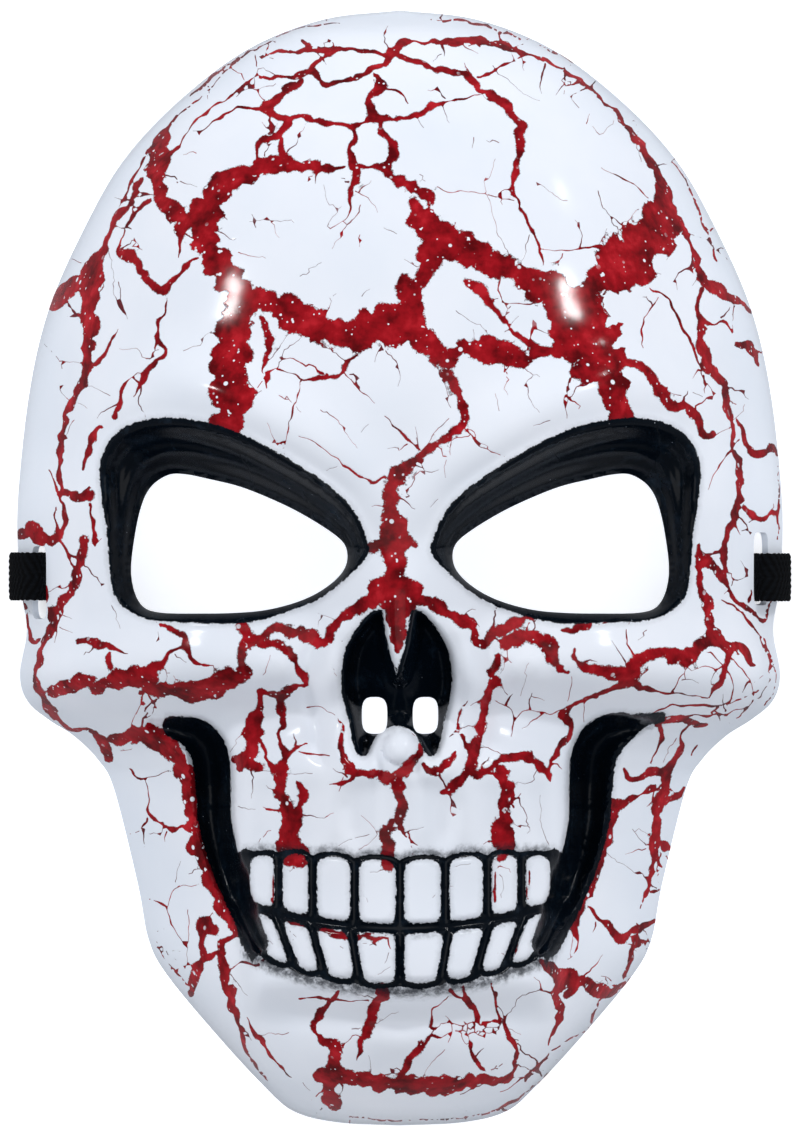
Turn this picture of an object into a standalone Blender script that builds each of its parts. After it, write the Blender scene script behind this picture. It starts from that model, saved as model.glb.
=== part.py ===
"""Full-face skull mask: a thin moulded plastic shell and its flat elastic head strap.

The mask lies face up on its rim. +Z is the way the face looks, +Y is towards the crown,
X runs from temple to temple, and the floor is at z = 0. Sizes in the tables are in
millimetres and become metres when a mesh is made.
"""
import math

import bpy
import numpy as np
from mathutils import Vector
from mathutils.geometry import delaunay_2d_cdt

MM = 0.001


def table(columns, rows):
    """A short table whose columns are read by name."""
    return np.array(rows, dtype=[(name, float) for name in columns.split()])


# Driving dimensions, in millimetres
WALL = 1.5
RIM_ARCH = 9.0          # how far the rim lifts off the floor at the temples
STRAP_WIDTH = 11.0
STRAP_THICK = 1.2
SLOT_X = 81.3           # middle of a strap slot
SLOT_WIDE = 3.3
SLOT_LONG = 16.4
SLOT_Y = {"left": -3.3, "right": -0.2}
STRAP_Y = {"left": -1.9, "right": -2.1}
STRAP_CLEAR = 0.3       # gap between the strap and the floor it lies on
NOSTRIL = (5.7, -33.0, 2.85, 4.1)  # x, y, half width, half height
TIP_BALL = (40.0, 3.9, 3.4)        # distance below the middle, radius, how far it stands out

# The silhouette, from the crown down to the chin
OUTLINE = table("y half_width", [
    (126.0, 0.0), (123.9, 17.5), (117.1, 34.6), (105.5, 50.0), (92.2, 62.4), (77.0, 71.2),
    (58.3, 79.4), (38.0, 84.0), (13.1, 86.3), (-3.8, 85.6), (-14.0, 84.2), (-24.0, 85.8),
    (-30.0, 84.2), (-34.2, 79.5), (-38.0, 73.6), (-43.4, 68.2), (-50.0, 64.6), (-71.6, 59.2),
    (-84.0, 56.8), (-92.0, 52.6), (-105.5, 41.4), (-116.8, 31.0), (-122.8, 24.0),
    (-125.3, 14.0), (-126.0, 0.0)])

# Cross sections: height of the middle, and the superellipse that runs from it to the rim
SECTIONS = table("y middle power roundness", [
    (-126.0, 0.5, 2.4, 0.50), (-124.8, 14.0, 2.4, 0.50), (-121.0, 32.0, 2.5, 0.50),
    (-114.0, 46.0, 2.5, 0.55), (-102.0, 54.5, 2.3, 0.60), (-88.0, 55.0, 2.0, 0.70),
    (-70.0, 54.0, 1.8, 0.80), (-52.0, 55.0, 1.8, 0.82), (-36.0, 58.0, 2.0, 0.78),
    (-18.0, 64.0, 2.15, 0.72), (6.0, 69.0, 2.2, 0.70), (32.0, 71.0, 2.3, 0.58),
    (62.0, 64.5, 2.3, 0.50), (92.0, 51.0, 2.25, 0.50), (110.0, 36.5, 2.2, 0.50),
    (120.0, 22.0, 2.2, 0.50), (126.0, 0.5, 2.2, 0.50)])

# Ridges and hollows on one half, as lines with a width and a height at each point
BROW = table("x y width height", [
    (0, 14, 7.0, 1.0), (12, 23, 7.0, 3.0), (26, 31.5, 8.5, 5.0), (42, 38.4, 9.5, 6.0),
    (56, 39.5, 9.0, 5.5), (67, 34, 7.0, 4.0), (71.5, 22, 5.0, 3.0), (70, 8, 5.0, 2.5),
    (68, -6, 5.0, 2.0)])
CHEEKBONE = table("x y width height", [
    (86, -24.5, 8, 2.0), (76, -24, 9, 8.0), (62, -23, 10, 10.0), (47, -22.5, 10, 9.5),
    (35, -22.5, 9, 7.0), (26, -23, 8, 4.5), (19, -25, 6, 2.0)])
CHEEK_HOLLOW = table("x y width depth", [
    (56, -35.2, 1.2, 3), (50, -35.9, 2.6, 6), (45.4, -37.8, 4.2, 9), (42.6, -42, 4.6, 11),
    (41.8, -49, 4.3, 11), (41.4, -57, 4.0, 10), (39.2, -66, 3.6, 9), (35.8, -75, 3.2, 8),
    (31.8, -84, 2.4, 5)])

# Loops on one half: the upper edge of the eye socket, the eye opening and the nose hollow
SOCKET = table("x y", [
    (7.2, 5.8), (9.8, 12), (13.9, 16.8), (20.4, 21.6), (27.1, 25.7), (33.7, 29.2), (40.4, 31.8),
    (47, 33.2), (53.6, 33.6), (60.3, 32.2), (65, 28.8), (67.4, 23), (67, 16), (65.8, 8),
    (65.2, 0), (64, -6.4), (60.2, -10), (55.8, -11.7), (50.4, -12.1), (38.1, -12.5),
    (31.4, -11.7), (24.8, -9.7), (18.1, -6.9), (12.4, -2.6), (7.9, 1.8), (6.8, 4)])
EYE_OPENING = table("x y", [
    (60.4, -1.3), (59.6, 7.2), (58, 14.3), (55.8, 18.4), (52, 20.9), (48, 21), (42.7, 19.9),
    (36.1, 18.3), (29.4, 15.7), (22.7, 12.5), (16.1, 8.5), (12.5, 5.4), (11.8, 1.8),
    (13.4, -1.6), (17.5, -5), (22.7, -7.5), (29.4, -9.3), (36, -10), (44.7, -10.2),
    (54.6, -9.9), (58.6, -7.6)])
NOSE_WEDGE = table("x y", [(0, -24.2), (2, -17.5), (3.4, -9.4)])
NOSE_LOBE = table("x y", [
    (3.4, -9.4), (5.6, -10), (8.6, -13.4), (11.2, -18), (12.2, -23.6), (11.9, -28.6),
    (10.6, -33.6), (9.8, -38), (8.6, -41.4), (6.9, -41.6), (5.3, -38.6), (3.6, -36.2), (0, -35)])

# Grooves between the teeth of one half, the middle one first, and where each row ends
UPPER_TEETH = (0.0, 10.1, 19.5, 27.2, 34.6)
LOWER_TEETH = (0.0, 10.1, 18.2, 24.7, 30.9)
LOWER_LEAN = 0.016      # lower grooves fan out by this much for each millimetre of height
GROOVE_HALF = 1.25

# Right half of the strap's route: round the slot's bridge, then along the floor to the middle
STRAP_LOOP = table("x z", [
    (74.8, 2.5), (77.0, 2.8), (78.5, 4.8), (79.3, 8.4), (79.7, 12.6), (80.3, 16.8),
    (81.6, 20.2), (83.8, 20.9), (86.0, 17.9), (87.5, 13.4), (87.5, 8.0), (85.3, 3.5),
    (81.4, 1.2), (77.6, 0.9), (74.0, 0.9)])
STRAP_RUN = table("x y twist", [
    (70.8, -2.7, 16), (67.4, -4.2, 50), (64.8, -7.6, 77), (63.0, -12.6, 88), (60.6, -20.0, 90),
    (57.0, -28.5, 90), (51.6, -38.0, 90), (43.5, -47.0, 90), (29.5, -56.5, 90),
    (12.0, -62.0, 90)])


def ease(start, end, value):
    """0 before start, 1 after end, with a soft step between them."""
    t = np.clip((value - start) / (end - start), 0, 1)
    return t * t * (3 - 2 * t)


def bell(distance, width):
    return np.exp(-(distance / width) ** 2)


def dome(distance, width):
    return 1 - ease(0, 1, distance / width)


def spline(points, per, closed=False):
    """Points along a smooth curve through the given ones; columns beyond x and y ride along."""
    p = np.array([list(row) for row in points], float)
    if closed:
        q = np.vstack([p[-1], p, p[0], p[1]])
    else:
        q = np.vstack([2 * p[0] - p[1], p, 2 * p[-1] - p[-2]])
    t = (np.arange(per) / per)[:, None]
    pieces = []
    for a, b, c, d in zip(q[:-3], q[1:-2], q[2:-1], q[3:]):
        pieces.append(0.5 * (2 * b + (c - a) * t + (2 * a - 5 * b + 4 * c - d) * t ** 2
                             + (3 * b - a - 3 * c + d) * t ** 3))
    if not closed:
        pieces.append(q[-2:-1])
    return np.vstack(pieces)


def near(x, y, line, closed=False):
    """Distance to a line of points, and the line's further columns at the nearest place."""
    start = line if closed else line[:-1]
    end = np.roll(line, -1, axis=0) if closed else line[1:]
    best = np.full(x.shape, 1e9)
    ride = np.zeros(x.shape + (line.shape[1] - 2,))
    for a, b in zip(start, end):
        dx, dy = b[:2] - a[:2]
        t = np.clip(((x - a[0]) * dx + (y - a[1]) * dy) / (dx * dx + dy * dy), 0, 1)
        away = np.hypot(x - a[0] - t * dx, y - a[1] - t * dy)
        closer = away < best
        best = np.where(closer, away, best)
        ride = np.where(closer[..., None], a[2:] + (b[2:] - a[2:]) * t[..., None], ride)
    return best, ride


def inside(x, y, loop):
    crossings = np.zeros(x.shape, int)
    for (x0, y0), (x1, y1) in zip(loop, np.roll(loop, -1, axis=0)):
        spans = (y0 > y) != (y1 > y)
        crossings += spans & (x < x0 + (y - y0) * (x1 - x0) / (y1 - y0 + 1e-30))
    return crossings % 2 == 1


def signed(x, y, loop):
    """Distance to a loop, below zero inside it."""
    away = near(x, y, loop, closed=True)[0]
    return np.where(inside(x, y, loop), -away, away)


def smooth_column(rows, name, y):
    """A column read between the rows without overshoot."""
    xs, ys = rows["y"], rows[name]
    step = np.diff(xs)
    slope = np.diff(ys) / step
    tangent = np.concatenate([slope[:1], np.zeros(len(xs) - 2), slope[-1:]])
    for i in range(1, len(xs) - 1):
        if slope[i - 1] * slope[i] > 0:
            before, after = 2 * step[i] + step[i - 1], step[i] + 2 * step[i - 1]
            tangent[i] = (before + after) / (before / slope[i - 1] + after / slope[i])
    k = np.clip(np.searchsorted(xs, y) - 1, 0, len(xs) - 2)
    t = np.clip((y - xs[k]) / step[k], 0, 1)
    return ((1 + 2 * t) * (1 - t) ** 2 * ys[k] + t * (1 - t) ** 2 * step[k] * tangent[k]
            + t * t * (3 - 2 * t) * ys[k + 1] + t * t * (t - 1) * step[k] * tangent[k + 1])


right_outline = spline(OUTLINE, 6)[:, ::-1]
socket_loop = spline(SOCKET, 4, closed=True)
eye_loop = spline(EYE_OPENING, 4, closed=True)
nose_half = np.vstack([spline(NOSE_WEDGE, 3)[:-1], spline(NOSE_LOBE, 4)])
nose_loop = np.vstack([nose_half, (nose_half * [-1, 1])[::-1][1:-1]])
brow_line = spline(BROW, 6)
cheek_line = spline(CHEEKBONE, 6)
hollow_line = spline(CHEEK_HOLLOW, 6)


def half_width(y):
    return np.interp(-y, -right_outline[:, 1], right_outline[:, 0])


def from_rim(x, y):
    """How far a point lies inside the silhouette, measured towards the middle."""
    angle = np.arctan2(right_outline[:, 1], right_outline[:, 0])
    radius = np.hypot(right_outline[:, 0], right_outline[:, 1])
    there = np.interp(-np.arctan2(y, np.abs(x) + 1e-9), -angle, radius)
    return there - np.hypot(x, y)


def rim_height(y):
    """The rim stands on the floor at the crown and the jaw, and arches up at the temples."""
    return RIM_ARCH * ease(-38, -20, y) * ease(32, 12, y)


def cranium(side, y):
    """The plain shell, before any feature of the face."""
    middle, power, roundness = (smooth_column(SECTIONS, name, y)
                                for name in ("middle", "power", "roundness"))
    draft = 0.988
    across = draft * np.clip(side / np.maximum(half_width(y), 0.5), 0, 1)
    edge = (1 - draft ** power) ** roundness
    drop = ((1 - across ** power) ** roundness - edge) / (1 - edge)
    rim = rim_height(y)
    return rim + (middle - rim) * drop


def cheekbones(side, y, inset):
    away, ride = near(side, y, cheek_line)
    reach = ride[..., 0] * (1.32 + 0.68 * ease(-29, -19, y))
    ridge = ride[..., 1] * dome(away, reach) * ease(0, 5, inset)
    temple = -4.5 * bell(side - 78, 10) * bell(y - 34, 22) * ease(0, 9, inset)
    return ridge + temple


def brows(side, y):
    away, ride = near(side, y, brow_line)
    return ride[..., 1] * bell(away, ride[..., 0])


def muzzle(side, y):
    """The jaw block that carries the teeth, with a soft rib over each upper root."""
    half = 38.2 - 3.6 * ease(-58, -86, y)
    block = ease(4, -4, side - half) * ease(-30, -48, y) * ease(-103, -92, y)
    ribs = -0.6 * np.cos(side / 9.9 * 2 * math.pi)
    ribs = ribs * ease(-44, -52, y) * ease(-64, -58, y) * ease(37, 31, side)
    chin = 4.5 * dome(np.hypot(side / 30, (y + 109) / 17), 1.0)
    crease = -1.8 * bell(y + 97.5, 4) * ease(36, 22, side)
    return block * (13.5 - 3 * (side / 36) ** 2 + ribs) + chin + crease


def cheek_hollows(side, y):
    away, ride = near(side, y, hollow_line)
    t = np.clip(away / (1.2 * ride[..., 0]), 0, 1)
    return -ride[..., 1] * (1 - t ** 2.2) ** 1.5


def sockets(side, y):
    """A rolled lip, a first slope down to a ledge, and a second one to the eye opening."""
    to_edge = signed(side, y, socket_loop)
    to_eye = np.maximum(signed(side, y, eye_loop), 0)
    share = np.clip(-to_edge / np.maximum(to_eye - to_edge, 1e-6), 0, 1)
    share = np.where(to_edge > 0, 0, share)
    depth = 3.5 + 13 * ease(-9, 22, y) + 4 * ease(48, 64, side) * ease(24, -2, y)
    slope = 0.42 * ease(0.05, 0.5, share) + 0.58 * ease(0.48, 1, share)
    lip = (0.7 + ease(8, 20, y)) * bell(to_edge + 1.2, 1.7)
    return lip - depth * slope


def nose(side, y):
    bridge = bell(side, 8) * (2 * ease(24, 10, y) + 5.5 * ease(8, -10, y)) * ease(-50, -26, y)
    mound = 4 * bell(side, 17) * bell(y + 26, 15)
    away = signed(side, y, nose_loop)
    roll = 1.9 * bell(away - 3.6, 3) * ease(-8, -15, y) * ease(3, 6.5, side)
    crease = -bell(away - 8.6, 1.6) * ease(-14, -20, y) * ease(-46, -40, y)
    hollow = -10.5 * ease(0.6, -2.8, away)
    below, radius, proud = TIP_BALL
    ball = proud * np.sqrt(np.clip(1 - (side ** 2 + (y + below) ** 2) / radius ** 2, 0, 1))
    knuckle = 1.3 * ease(6, 2, np.hypot(side - 28.4, y + 22.6))
    return bridge + mound + roll + crease + hollow + ball + knuckle


def tooth_lines(side):
    """The gum line, the bite and the lower gum line at each place across the mouth."""
    gum = -64 - 0.6 * bell(side, 14) + 1.6 * (side / 35) ** 2
    bite = -80.6 + 4.9 * (side / 34) ** 2
    low = -93.2 + 6.2 * (side / 31) ** 2
    return gum, bite, low


def scallop(side, edges, size):
    """A row of arches, one over each tooth."""
    rise = np.zeros_like(side)
    for a, b in zip(edges[:-1], edges[1:]):
        f = np.clip((side - a) / (b - a), 0, 1)
        rise = np.maximum(rise, size * np.sqrt(np.clip(4 * f * (1 - f), 0, 1)))
    return rise


def teeth(side, y):
    """Depth of the grooves that draw the two rows of teeth."""
    gum, bite, low = tooth_lines(side)
    upper_end, lower_end = UPPER_TEETH[-1], LOWER_TEETH[-1]
    arches = scallop(side, UPPER_TEETH, 1.7) * ease(38, 22, side)

    def cut(away, depth, half=GROOVE_HALF):
        return depth * np.clip(1 - (away / half) ** 2, 0, 1)

    cuts = [cut(y - (gum - 1.8 + arches), 1.2) * ease(upper_end + 1.2, upper_end, side),
            cut(y - bite, 1.7, 1.5) * ease(upper_end + 1.2, upper_end, side),
            cut(y - (low + 0.9 - scallop(side, LOWER_TEETH, 1.3)), 1.6, 1.5)
            * ease(lower_end + 1.2, lower_end, side)]
    for x in UPPER_TEETH:
        cuts.append(cut(side - x, 1.6) * ease(0.8, 0, y - (gum - 1.2)) * ease(-0.5, 0.5, y - bite))
    for x in LOWER_TEETH:
        lean = LOWER_LEAN * x * (y + 86)
        cuts.append(cut(side - x - lean, 1.6) * ease(0.8, 0, y - bite) * ease(-0.8, 0.5, y - low))
    return np.maximum.reduce(cuts)


def face(x, y, with_teeth=True):
    """Height of the mask's outer face over the floor, in millimetres."""
    side = np.abs(x)
    inset = from_rim(x, y)
    z = cranium(side, y) + cheekbones(side, y, inset) + brows(side, y) * ease(0, 6, inset)
    z = z + muzzle(side, y) + cheek_hollows(side, y) + sockets(side, y) + nose(side, y)
    return z - teeth(side, y) if with_teeth else z


def wall_offset(x, y):
    """From the outer face to the inner one: along the normal near the rim, where the wall
    stands steep, and straight down elsewhere, so that the inner face never folds."""
    inset = from_rim(x, y)
    step = np.clip(0.4 * inset, 0.2, 0.8)
    dx = (face(x + step, y, False) - face(x - step, y, False)) / (2 * step)
    dy = (face(x, y + step, False) - face(x, y - step, False)) / (2 * step)
    length = np.sqrt(dx * dx + dy * dy + 1)
    normal = WALL * np.stack([dx / length, dy / length, -1 / length], axis=-1)
    down = np.zeros_like(normal)
    down[..., 2] = -WALL * np.minimum(length, 2.6)
    share = ease(14, 5, inset)[..., None]
    return normal * share + down * (1 - share)


def both_sides(points):
    points = np.asarray(points, float)
    return np.vstack([points, points * [-1, 1]])


def rounded_box(x, y, half_x, half_y, count, power=6.0):
    """A superellipse: the shape of the nostrils and the strap slots."""
    turn = np.arange(count) / count * 2 * math.pi
    c, s = np.cos(turn), np.sin(turn)
    size = (np.abs(c) ** power + np.abs(s) ** power) ** (-1 / power)
    return np.stack([x + half_x * size * c, y + half_y * size * s], axis=-1)


def even(line, spacing, closed=False):
    """The same line with points at an even spacing."""
    p = np.vstack([line, line[:1]]) if closed else line
    length = np.concatenate([[0], np.cumsum(np.hypot(*np.diff(p[:, :2], axis=0).T))])
    count = max(3, round(length[-1] / spacing))
    at = np.linspace(0, length[-1], count + 1)[:-1 if closed else None]
    return np.stack([np.interp(at, length, p[:, k]) for k in range(2)], axis=-1)


def beside(line, offset, closed=False):
    """A line moved sideways, to its right for a positive offset."""
    if closed:
        along = np.roll(line, -1, axis=0) - np.roll(line, 1, axis=0)
    else:
        along = np.gradient(line, axis=0)
    along /= np.hypot(along[:, 0], along[:, 1])[:, None]
    return line + offset * np.stack([along[:, 1], -along[:, 0]], axis=-1)


def outline_loop(spacing):
    """The whole silhouette, clockwise from the crown."""
    left = (right_outline * [-1, 1])[::-1]
    return even(np.vstack([right_outline, left[1:-1]]), spacing, closed=True)


def hole_loops(eye_spacing, hole_points):
    """Every opening of the shell: eyes, nostrils and strap slots."""
    eye = even(eye_loop, eye_spacing, closed=True)
    x, y, half_x, half_y = NOSTRIL
    loops = [eye, eye * [-1, 1]]
    loops += [rounded_box(sign * x, y, half_x, half_y, hole_points, 3.2) for sign in (1, -1)]
    for sign, name in ((1, "right"), (-1, "left")):
        slot = rounded_box(sign * SLOT_X, SLOT_Y[name], SLOT_WIDE / 2, SLOT_LONG / 2, hole_points)
        loops.append(slot)
    return loops


def ledge_loop(spacing):
    """The ledge of an eye socket, half way from its upper edge to the eye opening."""
    edge = even(socket_loop, spacing, True)
    away = np.hypot(edge[:, None, 0] - eye_loop[:, 0], edge[:, None, 1] - eye_loop[:, 1])
    return (edge + eye_loop[away.argmin(axis=1)]) / 2


def tooth_points(spacing):
    """Three lines of points along each groove: its bottom and its two edges."""
    across = np.arange(-UPPER_TEETH[-1], UPPER_TEETH[-1] + 0.1, spacing)
    gum, bite, low = tooth_lines(np.abs(across))
    arches = scallop(np.abs(across), UPPER_TEETH, 1.7) * ease(38, 22, np.abs(across))
    lower = np.abs(across) < LOWER_TEETH[-1]
    dips = scallop(np.abs(across), LOWER_TEETH, 1.3)
    rows = [(across, bite), (across, gum - 1.8 + arches), (across[lower], (low + 0.9 - dips)[lower])]
    lines = [np.stack(row, axis=-1) for row in rows]
    for x in UPPER_TEETH:
        gum, bite, low = tooth_lines(np.array(x))
        y = np.arange(bite, gum, spacing)
        lines += [np.stack([np.full_like(y, sign * x), y], axis=-1) for sign in (1, -1)]
    for x in LOWER_TEETH:
        gum, bite, low = tooth_lines(np.array(x))
        y = np.arange(low, bite, spacing)
        lean = x + LOWER_LEAN * x * (y + 86)
        lines += [np.stack([sign * lean, y], axis=-1) for sign in (1, -1)]
    bottoms = np.vstack(lines)
    edges = [beside(line, offset) for line in lines for offset in (-GROOVE_HALF, GROOVE_HALF)]
    return [bottoms, np.vstack(edges)]


def hex_grid(spacing):
    rows = np.arange(-130, 130, spacing * math.sqrt(3) / 2)
    grid = [np.stack([np.arange(-90, 90, spacing) + (k % 2) * spacing / 2,
                      np.full(len(np.arange(-90, 90, spacing)), y)], axis=-1)
            for k, y in enumerate(rows)]
    return np.vstack(grid)


def thin_out(groups):
    """Keeps points in order, each at its group's distance or more from those before it."""
    cell = 2.0
    kept, cells = [], {}
    for points, gap in groups:
        reach = max(1, math.ceil(gap / cell))
        for x, y in points:
            i, j = math.floor(x / cell), math.floor(y / cell)
            around = (cells.get((i + a, j + b), ()) for a in range(-reach, reach + 1)
                      for b in range(-reach, reach + 1))
            if all((x - u) ** 2 + (y - v) ** 2 >= gap * gap for block in around for u, v in block):
                kept.append((x, y))
                cells.setdefault((i, j), []).append((x, y))
    return np.array(kept)


def plan_points():
    """Points of the shell seen from the front, closer together where the face has detail."""
    rim = outline_loop(5.4)
    loops = [rim] + hole_loops(3.4, 16)
    fixed = np.vstack(loops)
    rim_rows = [(beside(rim, offset, closed=True), 0.6) for offset in (0.7, 2.2, 5.2)]
    around = [(even(nose_loop, 2.2, True), 0.9),
              (even(beside(nose_loop, -2.6, True), 2.4, True), 1.1),
              (both_sides(even(socket_loop, 3.8, True)), 1.2),
              (both_sides(even(beside(socket_loop, 1.8, True), 4.0, True)), 1.4),
              (both_sides(ledge_loop(3.8)), 1.4)]
    around += [(both_sides(even(beside(hollow_line[:, :2], offset), 3.8)), 1.4)
               for offset in (0.0, -2.6, 2.6, -5.2, 5.2)]
    bottoms, edges = tooth_points(2.3)
    ball = rounded_box(0, -TIP_BALL[0], TIP_BALL[1], TIP_BALL[1], 10, 2.0)
    ball_rows = [(ball, 0.5), (np.array([[0, -TIP_BALL[0]]]), 0.5)]
    detail = hex_grid(3.3)
    detail = detail[(np.abs(detail[:, 0]) < 70) & (detail[:, 1] < 36) & (detail[:, 1] > -45)]
    muzzle_grid = hex_grid(4.2)
    muzzle_grid = muzzle_grid[(muzzle_grid[:, 1] < -40) & (muzzle_grid[:, 1] > -112)]
    groups = [(fixed, 0.01)] + rim_rows + ball_rows + [(bottoms, 0.8), (edges, 0.75)] + around
    groups += [(detail, 2.6), (muzzle_grid, 3.0), (hex_grid(7.0), 5.0)]
    points = thin_out(groups)
    keep = from_rim(points[:, 0], points[:, 1]) > -0.02
    for loop in loops[1:]:
        keep &= (signed(points[:, 0], points[:, 1], loop) > 0.7) | on_any(points, loops)
    return points[keep | on_any(points, loops)], loops


def on_any(points, loops):
    known = {(round(x, 5), round(y, 5)) for loop in loops for x, y in loop}
    return np.array([(round(x, 5), round(y, 5)) in known for x, y in points])


def triangulate(points, loops):
    """Triangles between the points, kept inside the silhouette and out of the openings."""
    index = {(round(x, 5), round(y, 5)): k for k, (x, y) in enumerate(points)}
    edges = []
    for loop in loops:
        ids = [index[round(x, 5), round(y, 5)] for x, y in loop]
        edges += list(zip(ids, ids[1:] + ids[:1]))
    verts, _, faces, *_ = delaunay_2d_cdt([Vector(p) for p in points], edges, [], 0, 1e-6)
    verts = np.array([list(v) for v in verts])
    faces = np.array(faces)
    centre = verts[faces].mean(axis=1)
    keep = inside(centre[:, 0], centre[:, 1], loops[0])
    for loop in loops[1:]:
        keep &= ~inside(centre[:, 0], centre[:, 1], loop)
    return verts, faces[keep]


def open_edges(faces):
    """Directed edges that only one triangle has."""
    seen = {}
    for a, b, c in faces:
        for edge in ((a, b), (b, c), (c, a)):
            seen[edge] = True
    return [(a, b) for a, b in seen if (b, a) not in seen]


def shell_mesh():
    """Outer face, inner face and the edges that join them, as one closed body."""
    points, loops = plan_points()
    plan, faces = triangulate(points, loops)
    x, y = plan[:, 0], plan[:, 1]
    at_rim = np.array([(round(a, 5), round(b, 5)) in
                       {(round(u, 5), round(v, 5)) for u, v in loops[0]} for a, b in plan])
    outer = np.stack([x, y, np.where(at_rim, rim_height(y), face(x, y))], axis=-1)
    inner = outer + wall_offset(x, y)
    rim_way = beside(loops[0], -1.0, closed=True) - loops[0]
    way = {(round(u, 5), round(v, 5)): w for (u, v), w in zip(loops[0], rim_way)}
    for k in np.nonzero(at_rim)[0]:
        out = way[round(x[k], 5), round(y[k], 5)]
        inner[k] = (x[k] - WALL * out[0], y[k] - WALL * out[1], max(0.0, outer[k, 2] - 0.5))
    count = len(plan)
    triangles = [tuple(f) for f in faces] + [(c + count, b + count, a + count) for a, b, c in faces]
    for a, b in open_edges(faces):
        triangles += [(b, a, a + count), (b, a + count, b + count)]
    return np.vstack([outer, inner]), triangles


def strap_route():
    """Middle line of the strap from one sewn end to the other, with its twist in degrees.
    Across the floor its height follows from the twist, because it rests on its lower edge."""
    right = [(x, STRAP_Y["right"], z, 0.0) for x, z in STRAP_LOOP]
    left = [(-x, STRAP_Y["left"], z, 0.0) for x, z in STRAP_LOOP]
    run = []
    for x, y, twist in STRAP_RUN:
        turn = math.radians(twist)
        low = STRAP_WIDTH / 2 * math.sin(turn) + STRAP_THICK / 2 * math.cos(turn)
        run.append((x, y, low + STRAP_CLEAR, twist))
    back = [(-x, y, z, twist) for x, y, z, twist in run][::-1]
    return right + run + back + left[::-1]


def strap_frames():
    """Points of the strap's middle line, with the directions of its width and thickness."""
    route = spline(strap_route(), 3)
    p, turn = route[:, :3], np.radians(np.clip(route[:, 3], 0, 90))[:, None]
    along = np.gradient(p, axis=0)
    along /= np.linalg.norm(along, axis=1)[:, None]
    level = np.stack([along[:, 1], -along[:, 0], 0 * along[:, 0]], axis=-1)
    level[turn[:, 0] == 0] = (0, 1, 0)
    level /= np.linalg.norm(level, axis=1)[:, None]
    across = level * np.cos(turn) + np.array([0, 0, 1.0]) * np.sin(turn)
    across -= (across * along).sum(axis=1)[:, None] * along
    across /= np.linalg.norm(across, axis=1)[:, None]
    return p, across, np.cross(along, across)


def strap_mesh():
    """A flat band, lying flat at its loops and on edge across the floor."""
    p, across, thick = strap_frames()
    half_w, half_t = STRAP_WIDTH / 2, STRAP_THICK / 2
    corners = ((-1, -1), (1, -1), (1, 1), (-1, 1))
    verts = np.concatenate([p + a * half_w * across + b * half_t * thick for a, b in corners])
    n = len(p)
    faces = [(3 * n, 2 * n, n, 0), (n - 1, 2 * n - 1, 3 * n - 1, 4 * n - 1)]
    for side in range(4):
        low, high = side * n, (side + 1) % 4 * n
        faces += [(low + k, high + k, high + k + 1, low + k + 1) for k in range(n - 1)]
    return verts, faces


def make_material(name, colour, roughness):
    material = bpy.data.materials.new(name)
    material.use_nodes = True
    shader = material.node_tree.nodes["Principled BSDF"]
    shader.inputs["Base Color"].default_value = (*colour, 1.0)
    shader.inputs["Roughness"].default_value = roughness
    shader.inputs["Metallic"].default_value = 0.0
    return material


def add_object(name, verts, faces, material):
    mesh = bpy.data.meshes.new(name)
    mesh.from_pydata((verts * MM).tolist(), [], [tuple(int(i) for i in f) for f in faces])
    mesh.update()
    mesh.materials.append(material)
    mesh.shade_smooth()
    mesh.set_sharp_from_angle(angle=math.radians(40))
    obj = bpy.data.objects.new(name, mesh)
    bpy.context.scene.collection.objects.link(obj)
    return obj


def main():
    for obj in list(bpy.data.objects):
        bpy.data.objects.remove(obj)
    shell = make_material("gloss_white_plastic", (0.80, 0.84, 0.90), 0.25)
    elastic = make_material("black_elastic", (0.015, 0.015, 0.018), 0.85)
    verts, faces = shell_mesh()
    add_object("mask_shell", verts, faces, shell)
    print("mask_shell triangles", len(faces))
    verts, faces = strap_mesh()
    add_object("elastic_strap", verts, faces, elastic)
    steps = np.linalg.norm(np.diff(strap_frames()[0], axis=0), axis=1)
    print("strap length in mm", round(float(steps.sum()), 1))


main()
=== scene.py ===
# %% [markdown]
# # A skull mask in moulded plastic
# The real object is a thin glossy plastic face, a hand's length deep, painted white over dark
# red so that the red shows as cracks, with black in the eye sockets, the nose and between the
# teeth. It lies face up, and the camera looks straight down on it. Sizes in the tables are in
# millimetres; a mesh is made in metres.

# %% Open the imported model
import math

import bpy
import numpy as np
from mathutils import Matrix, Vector, kdtree
from mathutils.geometry import delaunay_2d_cdt


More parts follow.
